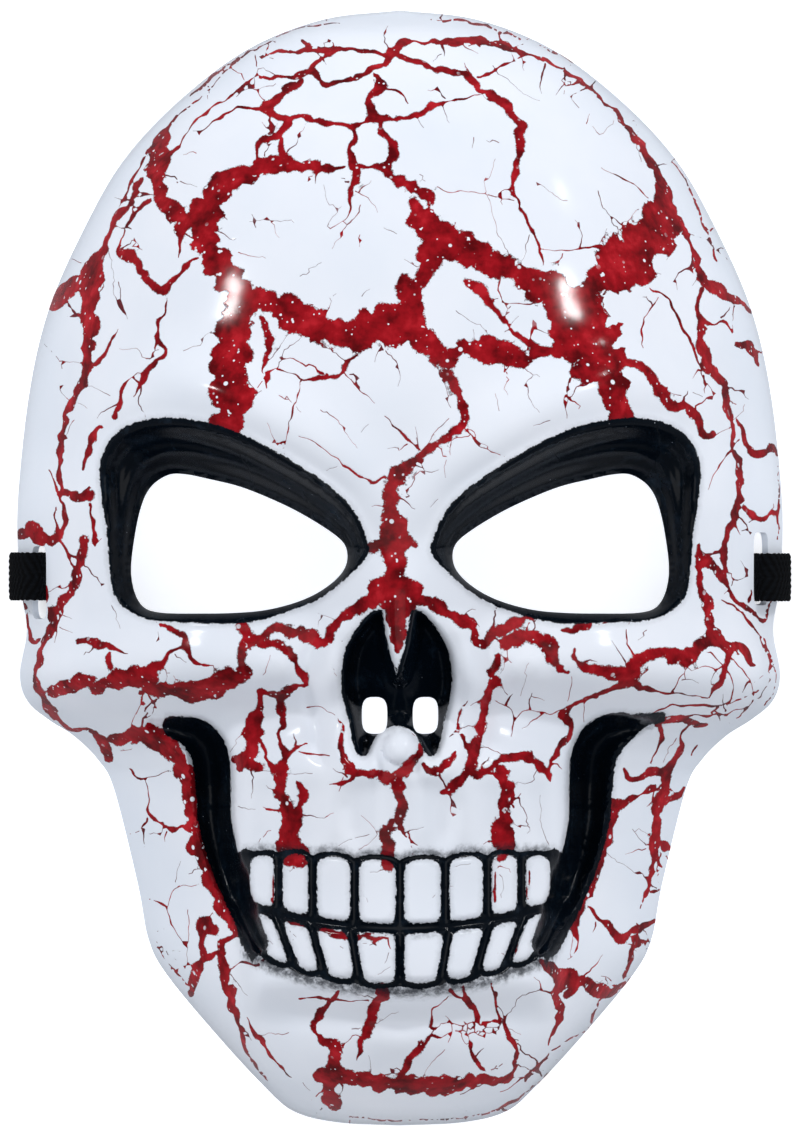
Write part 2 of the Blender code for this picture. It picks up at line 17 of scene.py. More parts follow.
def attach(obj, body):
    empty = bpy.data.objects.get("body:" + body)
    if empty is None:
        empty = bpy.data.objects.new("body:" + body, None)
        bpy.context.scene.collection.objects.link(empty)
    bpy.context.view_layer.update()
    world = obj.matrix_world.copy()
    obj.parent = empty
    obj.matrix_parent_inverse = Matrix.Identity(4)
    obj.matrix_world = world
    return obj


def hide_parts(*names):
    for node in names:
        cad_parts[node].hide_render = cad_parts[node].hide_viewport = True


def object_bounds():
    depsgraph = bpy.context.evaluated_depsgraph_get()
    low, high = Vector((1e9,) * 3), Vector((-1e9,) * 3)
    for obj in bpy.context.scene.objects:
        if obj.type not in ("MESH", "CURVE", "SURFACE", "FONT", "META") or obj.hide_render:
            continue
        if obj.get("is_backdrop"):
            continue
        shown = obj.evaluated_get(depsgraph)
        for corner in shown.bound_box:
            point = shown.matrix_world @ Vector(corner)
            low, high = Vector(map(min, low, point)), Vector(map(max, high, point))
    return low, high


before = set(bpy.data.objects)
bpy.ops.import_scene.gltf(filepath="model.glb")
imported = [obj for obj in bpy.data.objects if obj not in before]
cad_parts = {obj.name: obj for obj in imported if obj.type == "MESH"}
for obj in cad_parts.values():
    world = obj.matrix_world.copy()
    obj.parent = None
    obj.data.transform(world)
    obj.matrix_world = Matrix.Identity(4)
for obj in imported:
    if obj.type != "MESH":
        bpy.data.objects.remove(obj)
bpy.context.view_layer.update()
MM = 0.001


def corners():
    """The object's box as plain lists of metres."""
    return [[float(v) for v in corner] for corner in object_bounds()]


# %% [markdown]
# ## The camera
# The photograph is taken square on, with a long lens, so left and right show the same amount of
# side wall. A camera six metres up with a narrow view gives that flat perspective. Its view
# is 256.5 mm tall where the mask meets the floor.

# %% Look straight down at the face
VIEW_HEIGHT = 256.5 * MM
CAMERA_HEIGHT = 6.0

lens = bpy.data.cameras.new("front_camera")
lens.sensor_fit = "VERTICAL"
lens.sensor_height = 24.0
lens.lens = lens.sensor_height * CAMERA_HEIGHT / VIEW_HEIGHT
lens.clip_end = 50.0
camera = bpy.data.objects.new("front_camera", lens)
camera.location = (0.0, 0.1 * MM, CAMERA_HEIGHT)
bpy.context.scene.collection.objects.link(camera)
bpy.context.scene.camera = camera
print("lens in mm", round(lens.lens))

# %% [markdown]
# ## Small tools for shapes
# Every form of the face is a smooth bump, step or ridge. A few helpers give those: a soft step,
# a bell, a dome, a curve through charted points, and the distance to such a curve.

# %% Steps, bells and curves
def table(columns, rows):
    """A short table whose columns are read by name."""
    return np.array(rows, dtype=[(name, float) for name in columns.split()])


def ease(start, end, value):
    """0 before start, 1 after end, with a soft step between them."""
    t = np.clip((value - start) / (end - start), 0, 1)
    return t * t * (3 - 2 * t)


def bell(distance, width):
    return np.exp(-(distance / width) ** 2)


def dome(distance, width):
    return 1 - ease(0, 1, distance / width)


def spline(points, per, closed=False):
    """Points along a smooth curve through the given ones; further columns ride along."""
    p = np.array([list(row) for row in points], float)
    if closed:
        q = np.vstack([p[-1], p, p[0], p[1]])
    else:
        q = np.vstack([2 * p[0] - p[1], p, 2 * p[-1] - p[-2]])
    t = (np.arange(per) / per)[:, None]
    pieces = []
    for a, b, c, d in zip(q[:-3], q[1:-2], q[2:-1], q[3:]):
        pieces.append(0.5 * (2 * b + (c - a) * t + (2 * a - 5 * b + 4 * c - d) * t ** 2
                             + (3 * b - a - 3 * c + d) * t ** 3))
    if not closed:
        pieces.append(q[-2:-1])
    return np.vstack(pieces)


def near(x, y, line, closed=False):
    """Distance to a line of points, and the line's further columns at the nearest place."""
    start = line if closed else line[:-1]
    end = np.roll(line, -1, axis=0) if closed else line[1:]
    best = np.full(x.shape, 1e9)
    ride = np.zeros(x.shape + (line.shape[1] - 2,))
    for a, b in zip(start, end):
        dx, dy = b[:2] - a[:2]
        t = np.clip(((x - a[0]) * dx + (y - a[1]) * dy) / (dx * dx + dy * dy + 1e-12), 0, 1)
        away = np.hypot(x - a[0] - t * dx, y - a[1] - t * dy)
        closer = away < best
        best = np.where(closer, away, best)
        ride = np.where(closer[..., None], a[2:] + (b[2:] - a[2:]) * t[..., None], ride)
    return best, ride


def inside(x, y, loop):
    crossings = np.zeros(x.shape, int)
    for (x0, y0), (x1, y1) in zip(loop, np.roll(loop, -1, axis=0)):
        spans = (y0 > y) != (y1 > y)
        crossings += spans & (x < x0 + (y - y0) * (x1 - x0) / (y1 - y0 + 1e-30))
    return crossings % 2 == 1


def signed(x, y, loop):
    """Distance to a loop, below zero inside it."""
    away = near(x, y, loop, closed=True)[0]
    return np.where(inside(x, y, loop), -away, away)


def even(line, spacing, closed=False):
    """The same line with points at an even spacing; further columns ride along."""
    p = np.vstack([line, line[:1]]) if closed else line
    length = np.concatenate([[0], np.cumsum(np.hypot(*np.diff(p[:, :2], axis=0).T))])
    count = max(3 if closed else 1, round(length[-1] / spacing))
    at = np.linspace(0, length[-1], count + 1)[:-1 if closed else None]
    return np.stack([np.interp(at, length, p[:, k]) for k in range(p.shape[1])], axis=-1)


print("half a soft step", ease(0, 1, 0.5))

# %% [markdown]
# ## The elastic's route
# A flat black elastic holds the mask on. Each end is threaded through a slot at the temple,
# round the narrow bridge at the rim, and sewn back to itself. Behind the face the slack
# lies on edge on the floor, under the cheeks. Two short tables give half of that route.

# %% The strap's middle line
STRAP_WIDTH = 11.0
STRAP_THICK = 1.2
STRAP_CLEAR = 0.3       # above the floor
KNIT_STITCH = 1.7       # length of one stitch along the elastic
STRAP_Y = {"left": -1.9, "right": -2.1}
STRAP_LOOP = table("x z", [
    (74.8, 2.5), (77.0, 2.8), (78.5, 4.8), (79.3, 8.4), (79.7, 12.6), (80.3, 16.8),
    (81.6, 20.2), (83.8, 20.9), (86.0, 17.9), (87.5, 13.4), (87.5, 8.0), (85.3, 3.5),
    (81.4, 1.2), (77.6, 0.9), (74.0, 0.9)])
STRAP_RUN = table("x y twist", [
    (70.8, -2.7, 16), (67.4, -4.2, 50), (64.8, -7.6, 77), (63.0, -12.6, 88), (60.6, -20.0, 90),
    (57.0, -28.5, 90), (51.6, -38.0, 90), (43.5, -47.0, 90), (29.5, -56.5, 90),
    (12.0, -62.0, 90)])


def strap_route():
    """Middle line from one sewn end to the other, with its twist in degrees."""
    right = [(x, STRAP_Y["right"], z, 0.0) for x, z in STRAP_LOOP]
    left = [(-x, STRAP_Y["left"], z, 0.0) for x, z in STRAP_LOOP]
    run = []
    for x, y, twist in STRAP_RUN:
        turn = math.radians(twist)
        low = STRAP_WIDTH / 2 * math.sin(turn) + STRAP_THICK / 2 * math.cos(turn)
        run.append((x, y, low + STRAP_CLEAR, twist))
    back = [(-x, y, z, twist) for x, y, z, twist in run][::-1]
    return right + run + back + left[::-1]


def strap_frames(per):
    """Points of the middle line, with the directions of the width and the thickness."""
    route = spline(strap_route(), per)
    p, turn = route[:, :3], np.radians(np.clip(route[:, 3], 0, 90))[:, None]
    along = np.gradient(p, axis=0)
    along /= np.linalg.norm(along, axis=1)[:, None]
    level = np.stack([along[:, 1], -along[:, 0], 0 * along[:, 0]], axis=-1)
    level[turn[:, 0] == 0] = (0, 1, 0)
    level /= np.linalg.norm(level, axis=1)[:, None]
    across = level * np.cos(turn) + np.array([0, 0, 1.0]) * np.sin(turn)
    across -= (across * along).sum(axis=1)[:, None] * along
    across /= np.linalg.norm(across, axis=1)[:, None]
    return p, across, np.cross(along, across)


route_points = strap_frames(3)[0]

# %% [markdown]
# ## The knitted elastic
# Flat elastic is knitted: rubber cords run along it, and the yarn between them shows as
# small slanted stitches. The band is swept along the route with its own profile of ribs, and
# the knit's bumps are put in the mesh, because they show against the light at the loops.

# %% Sweep the ribbed band
def ribbed_profile(count, ribs):
    """The band's profile across: its place over the width, its side, and its rib number."""
    u = np.linspace(-1, 1, count)
    body = (1 - np.abs(u) ** 8) ** 0.5
    body = body * (0.66 + 0.34 * np.abs(np.sin((u + 1) / 2 * ribs * math.pi)))
    top = np.stack([u, body, np.floor((u + 1) * ribs / 2)], axis=-1)
    return np.vstack([top, top[::-1][1:-1] * [1, -1, 1]])


def elastic_mesh(per, count, ribs, stitch):
    """Rings of the profile along the route, closed at both ends, and each point's place."""
    p, across, thick = strap_frames(per)
    gone = np.concatenate([[0], np.cumsum(np.linalg.norm(np.diff(p, axis=0), axis=1))])
    keep = even(np.stack([gone, 0 * gone], axis=-1), 0.5)[:, 0]
    p, across, thick = (np.stack([np.interp(keep, gone, v[:, k]) for k in range(3)], axis=-1)
                        for v in (p, across, thick))
    profile = ribbed_profile(count, ribs)
    n = len(profile)
    bump = 0.14 * np.cos((keep[:, None] / stitch + 0.5 * profile[None, :, 2]) * 2 * math.pi)
    side = (profile[None, :, 1] * (0.86 + bump))[..., None]
    wide = STRAP_WIDTH / 2 * (0.98 + 0.02 * np.cos(keep / stitch * 2 * math.pi))[:, None, None]
    ring = (p[:, None] + across[:, None] * profile[None, :, :1] * wide
            + thick[:, None] * side * STRAP_THICK / 2)
    rows = len(p)
    a = (np.arange(rows - 1)[:, None] * n + np.arange(n)[None]).ravel()
    b = (np.arange(rows - 1)[:, None] * n + (np.arange(n)[None] + 1) % n).ravel()
    quads = np.stack([a, b, b + n, a + n], axis=-1).tolist()
    ends = [list(range(n))[::-1], list(range((rows - 1) * n, rows * n))]
    place = np.stack([np.broadcast_to(keep[:, None], (rows, n)).ravel(),
                      np.broadcast_to(profile[None, :, 0] * STRAP_WIDTH / 2, (rows, n)).ravel()],
                     axis=-1)
    return ring.reshape(-1, 3), quads + ends, place


def new_piece(name, verts, faces):
    """A mesh object at the origin, from points in millimetres."""
    mesh = bpy.data.meshes.new(name)
    mesh.from_pydata((np.asarray(verts) * MM).tolist(), [], faces)
    mesh.update()
    piece = bpy.data.objects.new(name, mesh)
    bpy.context.scene.collection.objects.link(piece)
    return piece


def set_numbers(piece, name, values):
    """Keeps one number for each point of a piece, for its material to read."""
    layer = piece.data.attributes.new(name, "FLOAT", "POINT")
    layer.data.foreach_set("value", np.asarray(values, np.float32))


verts, faces, place = elastic_mesh(per=12, count=64, ribs=8, stitch=KNIT_STITCH)
elastic = new_piece("knitted_elastic", verts, faces)
set_numbers(elastic, "along", place[:, 0])
set_numbers(elastic, "across", place[:, 1])
elastic.data.shade_smooth()
print("elastic faces", len(faces))

# %% [markdown]
# ## Bar tacks
# Each end of the elastic is sewn down with a bar tack, a dense row of zigzag thread. One
# stitch is modelled, and Geometry Nodes puts it on every point of a small list of places.

# %% Places and directions of the stitches
def tack_places(sign, y, rows=3, count=11):
    """Stitch places across both ends of the strap, on top of the sewn end."""
    places = []
    for row in range(rows):
        for k in range(count):
            places.append((sign * (75.0 + 0.55 * row), y - 4.4 + 8.8 * k / (count - 1), 3.25))
    return places


stitch_points = tack_places(1, STRAP_Y["right"]) + tack_places(-1, STRAP_Y["left"])
stitches = new_piece("bar_tacks", stitch_points, [])
print("stitches", len(stitch_points))

# %% A stitch on every place
def stitch_tree(material):
    """Thread instances on points, made real, with their material."""
    tree = bpy.data.node_groups.new("bar_tack_stitches", "GeometryNodeTree")
    tree.interface.new_socket("Geometry", in_out="INPUT", socket_type="NodeSocketGeometry")
    for name in ("Stitch length", "Thread radius"):
        socket = tree.interface.new_socket(name, in_out="INPUT", socket_type="NodeSocketFloat")
        socket.min_value = 0.0
    tree.interface.new_socket("Seed", in_out="INPUT", socket_type="NodeSocketInt")
    tree.interface.new_socket("Geometry", in_out="OUTPUT", socket_type="NodeSocketGeometry")
    start = tree.nodes.new("NodeGroupInput")
    end = tree.nodes.new("NodeGroupOutput")
    thread = tree.nodes.new("GeometryNodeMeshCylinder")
    thread.inputs["Vertices"].default_value = 6
    tree.links.new(start.outputs["Thread radius"], thread.inputs["Radius"])
    tree.links.new(start.outputs["Stitch length"], thread.inputs["Depth"])
    lean = tree.nodes.new("FunctionNodeRandomValue")
    lean.data_type = "FLOAT_VECTOR"
    lean.inputs[0].default_value = (math.radians(84), 0, math.radians(62))
    lean.inputs[1].default_value = (math.radians(96), 0, math.radians(118))
    tree.links.new(start.outputs["Seed"], lean.inputs["Seed"])
    place = tree.nodes.new("GeometryNodeInstanceOnPoints")
    tree.links.new(start.outputs["Geometry"], place.inputs["Points"])
    tree.links.new(thread.outputs["Mesh"], place.inputs["Instance"])
    tree.links.new(lean.outputs[0], place.inputs["Rotation"])
    real = tree.nodes.new("GeometryNodeRealizeInstances")
    tree.links.new(place.outputs["Instances"], real.inputs[0])
    paint = tree.nodes.new("GeometryNodeSetMaterial")
    paint.inputs["Material"].default_value = material
    tree.links.new(real.outputs[0], paint.inputs["Geometry"])
    tree.links.new(paint.outputs[0], end.inputs[0])
    return tree


def grow(piece, tree, sizes):
    """Gives the piece the mesh that its Geometry Nodes tree makes, as a plain mesh."""
    modifier = piece.modifiers.new(tree.name, "NODES")
    modifier.node_group = tree
    for item in tree.interface.items_tree:
        if item.item_type == "SOCKET" and item.in_out == "INPUT" and item.name in sizes:
            modifier[item.identifier] = sizes[item.name]
    ready = piece.evaluated_get(bpy.context.evaluated_depsgraph_get())
    mesh = bpy.data.meshes.new_from_object(ready)
    piece.modifiers.clear()
    piece.data = mesh


# %% [markdown]
# ## The face as one height function
# A moulded mask is one sheet, so its front is a height over each place on the floor. The plain
# shell comes from a silhouette and a few cross sections; brows, cheekbones, sockets, nose and
# teeth are added to it as ridges and hollows. The tables are the same as in the solid model.

# %% Sizes of the shell
WALL = 1.5
RIM_ARCH = 9.0
SLOT_X = 81.3
SLOT_WIDE = 3.3
SLOT_LONG = 16.4
SLOT_Y = {"left": -3.3, "right": -0.2}
NOSTRIL = (5.7, -33.0, 2.85, 4.1)  # x, y, half width, half height
TIP_BALL = (40.0, 3.9, 3.4)        # distance below the middle, radius, how far it stands out

# The silhouette, from the crown down to the chin
OUTLINE = table("y half_width", [
    (126.0, 0.0), (123.9, 17.5), (117.1, 34.6), (105.5, 50.0), (92.2, 62.4), (77.0, 71.2),
    (58.3, 79.4), (38.0, 84.0), (13.1, 86.3), (-3.8, 85.6), (-14.0, 84.2), (-24.0, 85.8),
    (-30.0, 84.2), (-34.2, 79.5), (-38.0, 73.6), (-43.4, 68.2), (-50.0, 64.6), (-71.6, 59.2),
    (-84.0, 56.8), (-92.0, 52.6), (-105.5, 41.4), (-116.8, 31.0), (-122.8, 24.0),
    (-125.3, 14.0), (-126.0, 0.0)])

# Cross sections: height of the middle, and the superellipse that runs from it to the rim
SECTIONS = table("y middle power roundness", [
    (-126.0, 0.5, 2.4, 0.50), (-124.8, 14.0, 2.4, 0.50), (-121.0, 32.0, 2.5, 0.50),
    (-114.0, 46.0, 2.5, 0.55), (-102.0, 54.5, 2.3, 0.60), (-88.0, 55.0, 2.0, 0.70),
    (-70.0, 54.0, 1.8, 0.80), (-52.0, 55.0, 1.8, 0.82), (-36.0, 58.0, 2.0, 0.78),
    (-18.0, 64.0, 2.15, 0.72), (6.0, 69.0, 2.2, 0.70), (32.0, 71.0, 2.3, 0.58),
    (62.0, 64.5, 2.3, 0.50), (92.0, 51.0, 2.25, 0.50), (110.0, 36.5, 2.2, 0.50),
    (120.0, 22.0, 2.2, 0.50), (126.0, 0.5, 2.2, 0.50)])

# Ridges and hollows on one half, as lines with a width and a height at each point
BROW = table("x y width height", [
    (0, 14, 7.0, 1.0), (12, 23, 7.0, 3.0), (26, 31.5, 8.5, 5.0), (42, 38.4, 9.5, 6.0),
    (56, 39.5, 9.0, 5.5), (67, 34, 7.0, 4.0), (71.5, 22, 5.0, 3.0), (70, 8, 5.0, 2.5),
    (68, -6, 5.0, 2.0)])
CHEEKBONE = table("x y width height", [
    (86, -24.5, 8, 2.0), (76, -24, 9, 8.0), (62, -23, 10, 10.0), (47, -22.5, 10, 9.5),
    (35, -22.5, 9, 7.0), (26, -23, 8, 4.5), (19, -25, 6, 2.0)])
CHEEK_HOLLOW = table("x y width depth", [
    (56, -35.2, 1.2, 3), (50, -35.9, 2.6, 6), (45.4, -37.8, 4.2, 9), (42.6, -42, 4.6, 11),
    (41.8, -49, 4.3, 11), (41.4, -57, 4.0, 10), (39.2, -66, 3.6, 9), (35.8, -75, 3.2, 8),
    (31.8, -84, 2.4, 5)])

# Loops on one half: the upper edge of the eye socket, the eye opening and the nose hollow
SOCKET = table("x y", [
    (7.2, 5.8), (9.8, 12), (13.9, 16.8), (20.4, 21.6), (27.1, 25.7), (33.7, 29.2), (40.4, 31.8),
    (47, 33.2), (53.6, 33.6), (60.3, 32.2), (65, 28.8), (67.4, 23), (67, 16), (65.8, 8),
    (65.2, 0), (64, -6.4), (60.2, -10), (55.8, -11.7), (50.4, -12.1), (38.1, -12.5),
    (31.4, -11.7), (24.8, -9.7), (18.1, -6.9), (12.4, -2.6), (7.9, 1.8), (6.8, 4)])
EYE_OPENING = table("x y", [
    (60.4, -1.3), (59.6, 7.2), (58, 14.3), (55.8, 18.4), (52, 20.9), (48, 21), (42.7, 19.9),
    (36.1, 18.3), (29.4, 15.7), (22.7, 12.5), (16.1, 8.5), (12.5, 5.4), (11.8, 1.8),
    (13.4, -1.6), (17.5, -5), (22.7, -7.5), (29.4, -9.3), (36, -10), (44.7, -10.2),
    (54.6, -9.9), (58.6, -7.6)])
NOSE_WEDGE = table("x y", [(0, -24.2), (2, -17.5), (3.4, -9.4)])
NOSE_LOBE = table("x y", [
    (3.4, -9.4), (5.6, -10), (8.6, -13.4), (11.2, -18), (12.2, -23.6), (11.9, -28.6),
    (10.6, -33.6), (9.8, -38), (8.6, -41.4), (6.9, -41.6), (5.3, -38.6), (3.6, -36.2), (0, -35)])

# Grooves between the teeth of one half, the middle one first, and where each row ends
UPPER_TEETH = (0.0, 10.1, 19.5, 27.2, 34.6)
LOWER_TEETH = (0.0, 10.1, 18.2, 24.7, 30.9)
LOWER_LEAN = 0.016      # lower grooves fan out by this much for each millimetre of height
GROOVE_HALF = 1.25
print("silhouette rows", len(OUTLINE))

# %% Forms of the face
def smooth_column(rows, name, y):
    """A column read between the rows without overshoot."""
    xs, ys = rows["y"], rows[name]
    step = np.diff(xs)
    slope = np.diff(ys) / step
    tangent = np.concatenate([slope[:1], np.zeros(len(xs) - 2), slope[-1:]])
    for i in range(1, len(xs) - 1):
        if slope[i - 1] * slope[i] > 0:
            before, after = 2 * step[i] + step[i - 1], step[i] + 2 * step[i - 1]
            tangent[i] = (before + after) / (before / slope[i - 1] + after / slope[i])
    k = np.clip(np.searchsorted(xs, y) - 1, 0, len(xs) - 2)
    t = np.clip((y - xs[k]) / step[k], 0, 1)
    return ((1 + 2 * t) * (1 - t) ** 2 * ys[k] + t * (1 - t) ** 2 * step[k] * tangent[k]
            + t * t * (3 - 2 * t) * ys[k + 1] + t * t * (t - 1) * step[k] * tangent[k + 1])


right_outline = spline(OUTLINE, 6)[:, ::-1]
socket_loop = spline(SOCKET, 4, closed=True)
eye_loop = spline(EYE_OPENING, 4, closed=True)
nose_half = np.vstack([spline(NOSE_WEDGE, 3)[:-1], spline(NOSE_LOBE, 4)])
nose_loop = np.vstack([nose_half, (nose_half * [-1, 1])[::-1][1:-1]])
brow_line = spline(BROW, 6)
cheek_line = spline(CHEEKBONE, 6)
hollow_line = spline(CHEEK_HOLLOW, 6)


def half_width(y):
    return np.interp(-y, -right_outline[:, 1], right_outline[:, 0])


def from_rim(x, y):
    """How far a point lies inside the silhouette, measured towards the middle."""
    angle = np.arctan2(right_outline[:, 1], right_outline[:, 0])
    radius = np.hypot(right_outline[:, 0], right_outline[:, 1])
    there = np.interp(-np.arctan2(y, np.abs(x) + 1e-9), -angle, radius)
    return there - np.hypot(x, y)


def rim_height(y):
    """The rim stands on the floor at the crown and the jaw, and arches up at the temples."""
    return RIM_ARCH * ease(-38, -20, y) * ease(32, 12, y)


def cranium(side, y):
    """The plain shell, before any feature of the face."""
    middle, power, roundness = (smooth_column(SECTIONS, name, y)
                                for name in ("middle", "power", "roundness"))
    draft = 0.988
    across = draft * np.clip(side / np.maximum(half_width(y), 0.5), 0, 1)
    edge = (1 - draft ** power) ** roundness
    drop = ((1 - across ** power) ** roundness - edge) / (1 - edge)
    rim = rim_height(y)
    return rim + (middle - rim) * drop


def cheekbones(side, y, inset):
    away, ride = near(side, y, cheek_line)
    reach = ride[..., 0] * (1.32 + 0.68 * ease(-29, -19, y))
    ridge = ride[..., 1] * dome(away, reach) * ease(0, 5, inset)
    temple = -4.5 * bell(side - 78, 10) * bell(y - 34, 22) * ease(0, 9, inset)
    return ridge + temple


def brows(side, y):
    away, ride = near(side, y, brow_line)
    return ride[..., 1] * bell(away, ride[..., 0])


def muzzle(side, y):
    """The jaw block that carries the teeth, with a soft rib over each upper root."""
    half = 38.2 - 3.6 * ease(-58, -86, y)
    block = ease(4, -4, side - half) * ease(-30, -48, y) * ease(-103, -92, y)
    ribs = -0.6 * np.cos(side / 9.9 * 2 * math.pi)
    ribs = ribs * ease(-44, -52, y) * ease(-64, -58, y) * ease(37, 31, side)
    chin = 4.5 * dome(np.hypot(side / 30, (y + 109) / 17), 1.0)
    crease = -1.8 * bell(y + 97.5, 4) * ease(36, 22, side)
    return block * (13.5 - 3 * (side / 36) ** 2 + ribs) + chin + crease


def cheek_hollows(side, y):
    away, ride = near(side, y, hollow_line)
    t = np.clip(away / (1.2 * ride[..., 0]), 0, 1)
    return -ride[..., 1] * (1 - t ** 2.2) ** 1.5


def sockets(side, y):
    """A rolled lip, a first slope down to a ledge, and a second one to the eye opening."""
    to_edge = signed(side, y, socket_loop)
    to_eye = np.maximum(signed(side, y, eye_loop), 0)
    share = np.clip(-to_edge / np.maximum(to_eye - to_edge, 1e-6), 0, 1)
    share = np.where(to_edge > 0, 0, share)
    depth = 3.5 + 13 * ease(-9, 22, y) + 4 * ease(48, 64, side) * ease(24, -2, y)
    slope = 0.42 * ease(0.05, 0.5, share) + 0.58 * ease(0.48, 1, share)
    lip = (0.7 + ease(8, 20, y)) * bell(to_edge + 1.2, 1.7)
    return lip - depth * slope


def nose(side, y):
    bridge = bell(side, 8) * (2 * ease(24, 10, y) + 5.5 * ease(8, -10, y)) * ease(-50, -26, y)
    mound = 4 * bell(side, 17) * bell(y + 26, 15)
    away = signed(side, y, nose_loop)
    roll = 1.9 * bell(away - 3.6, 3) * ease(-8, -15, y) * ease(3, 6.5, side)
    crease = -bell(away - 8.6, 1.6) * ease(-14, -20, y) * ease(-46, -40, y)
    hollow = -10.5 * ease(0.6, -2.8, away)
    below, radius, proud = TIP_BALL
    ball = proud * np.sqrt(np.clip(1 - (side ** 2 + (y + below) ** 2) / radius ** 2, 0, 1))
    knuckle = 1.3 * ease(6, 2, np.hypot(side - 28.4, y + 22.6))
    return bridge + mound + roll + crease + hollow + ball + knuckle


def tooth_lines(side):
    """The gum line, the bite and the lower gum line at each place across the mouth."""
    gum = -64 - 0.6 * bell(side, 14) + 1.6 * (side / 35) ** 2
    bite = -80.6 + 4.9 * (side / 34) ** 2
    low = -93.2 + 6.2 * (side / 31) ** 2
    return gum, bite, low


def scallop(side, edges, size):
    """A row of arches, one over each tooth."""
    rise = np.zeros_like(side)
    for a, b in zip(edges[:-1], edges[1:]):
        f = np.clip((side - a) / (b - a), 0, 1)
        rise = np.maximum(rise, size * np.sqrt(np.clip(4 * f * (1 - f), 0, 1)))
    return rise


def tooth_cuts(side, y, cut):
    """What a rule makes of each groove that draws the two rows of teeth."""
    gum, bite, low = tooth_lines(side)
    upper_end, lower_end = UPPER_TEETH[-1], LOWER_TEETH[-1]
    arches = scallop(side, UPPER_TEETH, 1.7) * ease(38, 22, side)

    cuts = [cut(y - (gum - 1.8 + arches), 1.2) * ease(upper_end + 1.2, upper_end, side),
            cut(y - bite, 1.7, 1.5) * ease(upper_end + 1.2, upper_end, side),
            cut(y - (low + 0.9 - scallop(side, LOWER_TEETH, 1.3)), 1.6, 1.5)
            * ease(lower_end + 1.2, lower_end, side)]
    for x in UPPER_TEETH:
        cuts.append(cut(side - x, 1.6) * ease(0.8, 0, y - (gum - 1.2)) * ease(-0.5, 0.5, y - bite))
    for x in LOWER_TEETH:
        lean = LOWER_LEAN * x * (y + 86)
        cuts.append(cut(side - x - lean, 1.6) * ease(0.8, 0, y - bite) * ease(-0.8, 0.5, y - low))
    return cuts


def teeth(side, y):
    """Depth of the grooves that draw the two rows of teeth."""
    def cut(away, depth, half=GROOVE_HALF):
        return depth * np.clip(1 - (away / half) ** 2, 0, 1)

    return np.maximum.reduce(tooth_cuts(side, y, cut))


def face(x, y, with_teeth=True):
    """Height of the mask's outer face over the floor, in millimetres."""
    side = np.abs(x)
    inset = from_rim(x, y)
    z = cranium(side, y) + cheekbones(side, y, inset) + brows(side, y) * ease(0, 6, inset)
    z = z + muzzle(side, y) + cheek_hollows(side, y) + sockets(side, y) + nose(side, y)
    return z - teeth(side, y) if with_teeth else z


def wall_offset(x, y):
    """From the outer face to the inner one: along the normal near the rim, where the wall
    stands steep, and straight down elsewhere, so that the inner face never folds."""
    inset = from_rim(x, y)
    step = np.clip(0.4 * inset, 0.2, 0.8)
    dx = (face(x + step, y, False) - face(x - step, y, False)) / (2 * step)
    dy = (face(x, y + step, False) - face(x, y - step, False)) / (2 * step)
    length = np.sqrt(dx * dx + dy * dy + 1)
    normal = WALL * np.stack([dx / length, dy / length, -1 / length], axis=-1)
    down = np.zeros_like(normal)
    down[..., 2] = -WALL * np.minimum(length, 2.6)
    share = ease(14, 5, inset)[..., None]
    return normal * share + down * (1 - share)


def outline_loop(spacing):
    """The whole silhouette, clockwise from the crown."""
    left = (right_outline * [-1, 1])[::-1]
    return even(np.vstack([right_outline, left[1:-1]]), spacing, closed=True)


print("height at the brow in mm", round(float(face(np.array([42.0]), np.array([38.0]))[0]), 1))

# %% [markdown]
# ## Where the paint goes
# The white coat has pulled back over a red one, as crackle paint does, and left wide ragged
# bands, thin branches and hairlines. The wide bands were charted, as a painter would
# mask them: each is a line of places with a width. The small ones grow by rule further on.

# %% Charted cracks
shaky_hand = np.random.default_rng(5)


def tremble(count, reach):
    """Numbers that wander between about -1 and 1, each near the one before."""
    raw = shaky_hand.normal(0, 1, count + 2 * reach)
    return np.convolve(raw, np.hanning(2 * reach + 1), "valid")[:count] / math.sqrt(reach * 0.75)


def charted(lines):
    """Cracks whose columns are x, y and half the width, made as uneven as paint leaves them."""
    cracks = []
    for line in lines:
        crack = even(spline(np.array(line) * [1, 1, 0.5], 4), 0.6)
        half = crack[:, 2] * np.clip(0.92 + 0.18 * tremble(len(crack), 2), 0.6, 1.4)
        sway = 0.5 * np.stack([tremble(len(crack), 3), tremble(len(crack), 3)], axis=-1)
        crack[1:-1, :2] += (sway * np.clip(0.25 + 0.3 * half, 0, 0.6)[:, None])[1:-1]
        crack[:, 2] = np.maximum(1.06 * half - 0.14, 0.4 * half)
        cracks.append(crack)
    return cracks


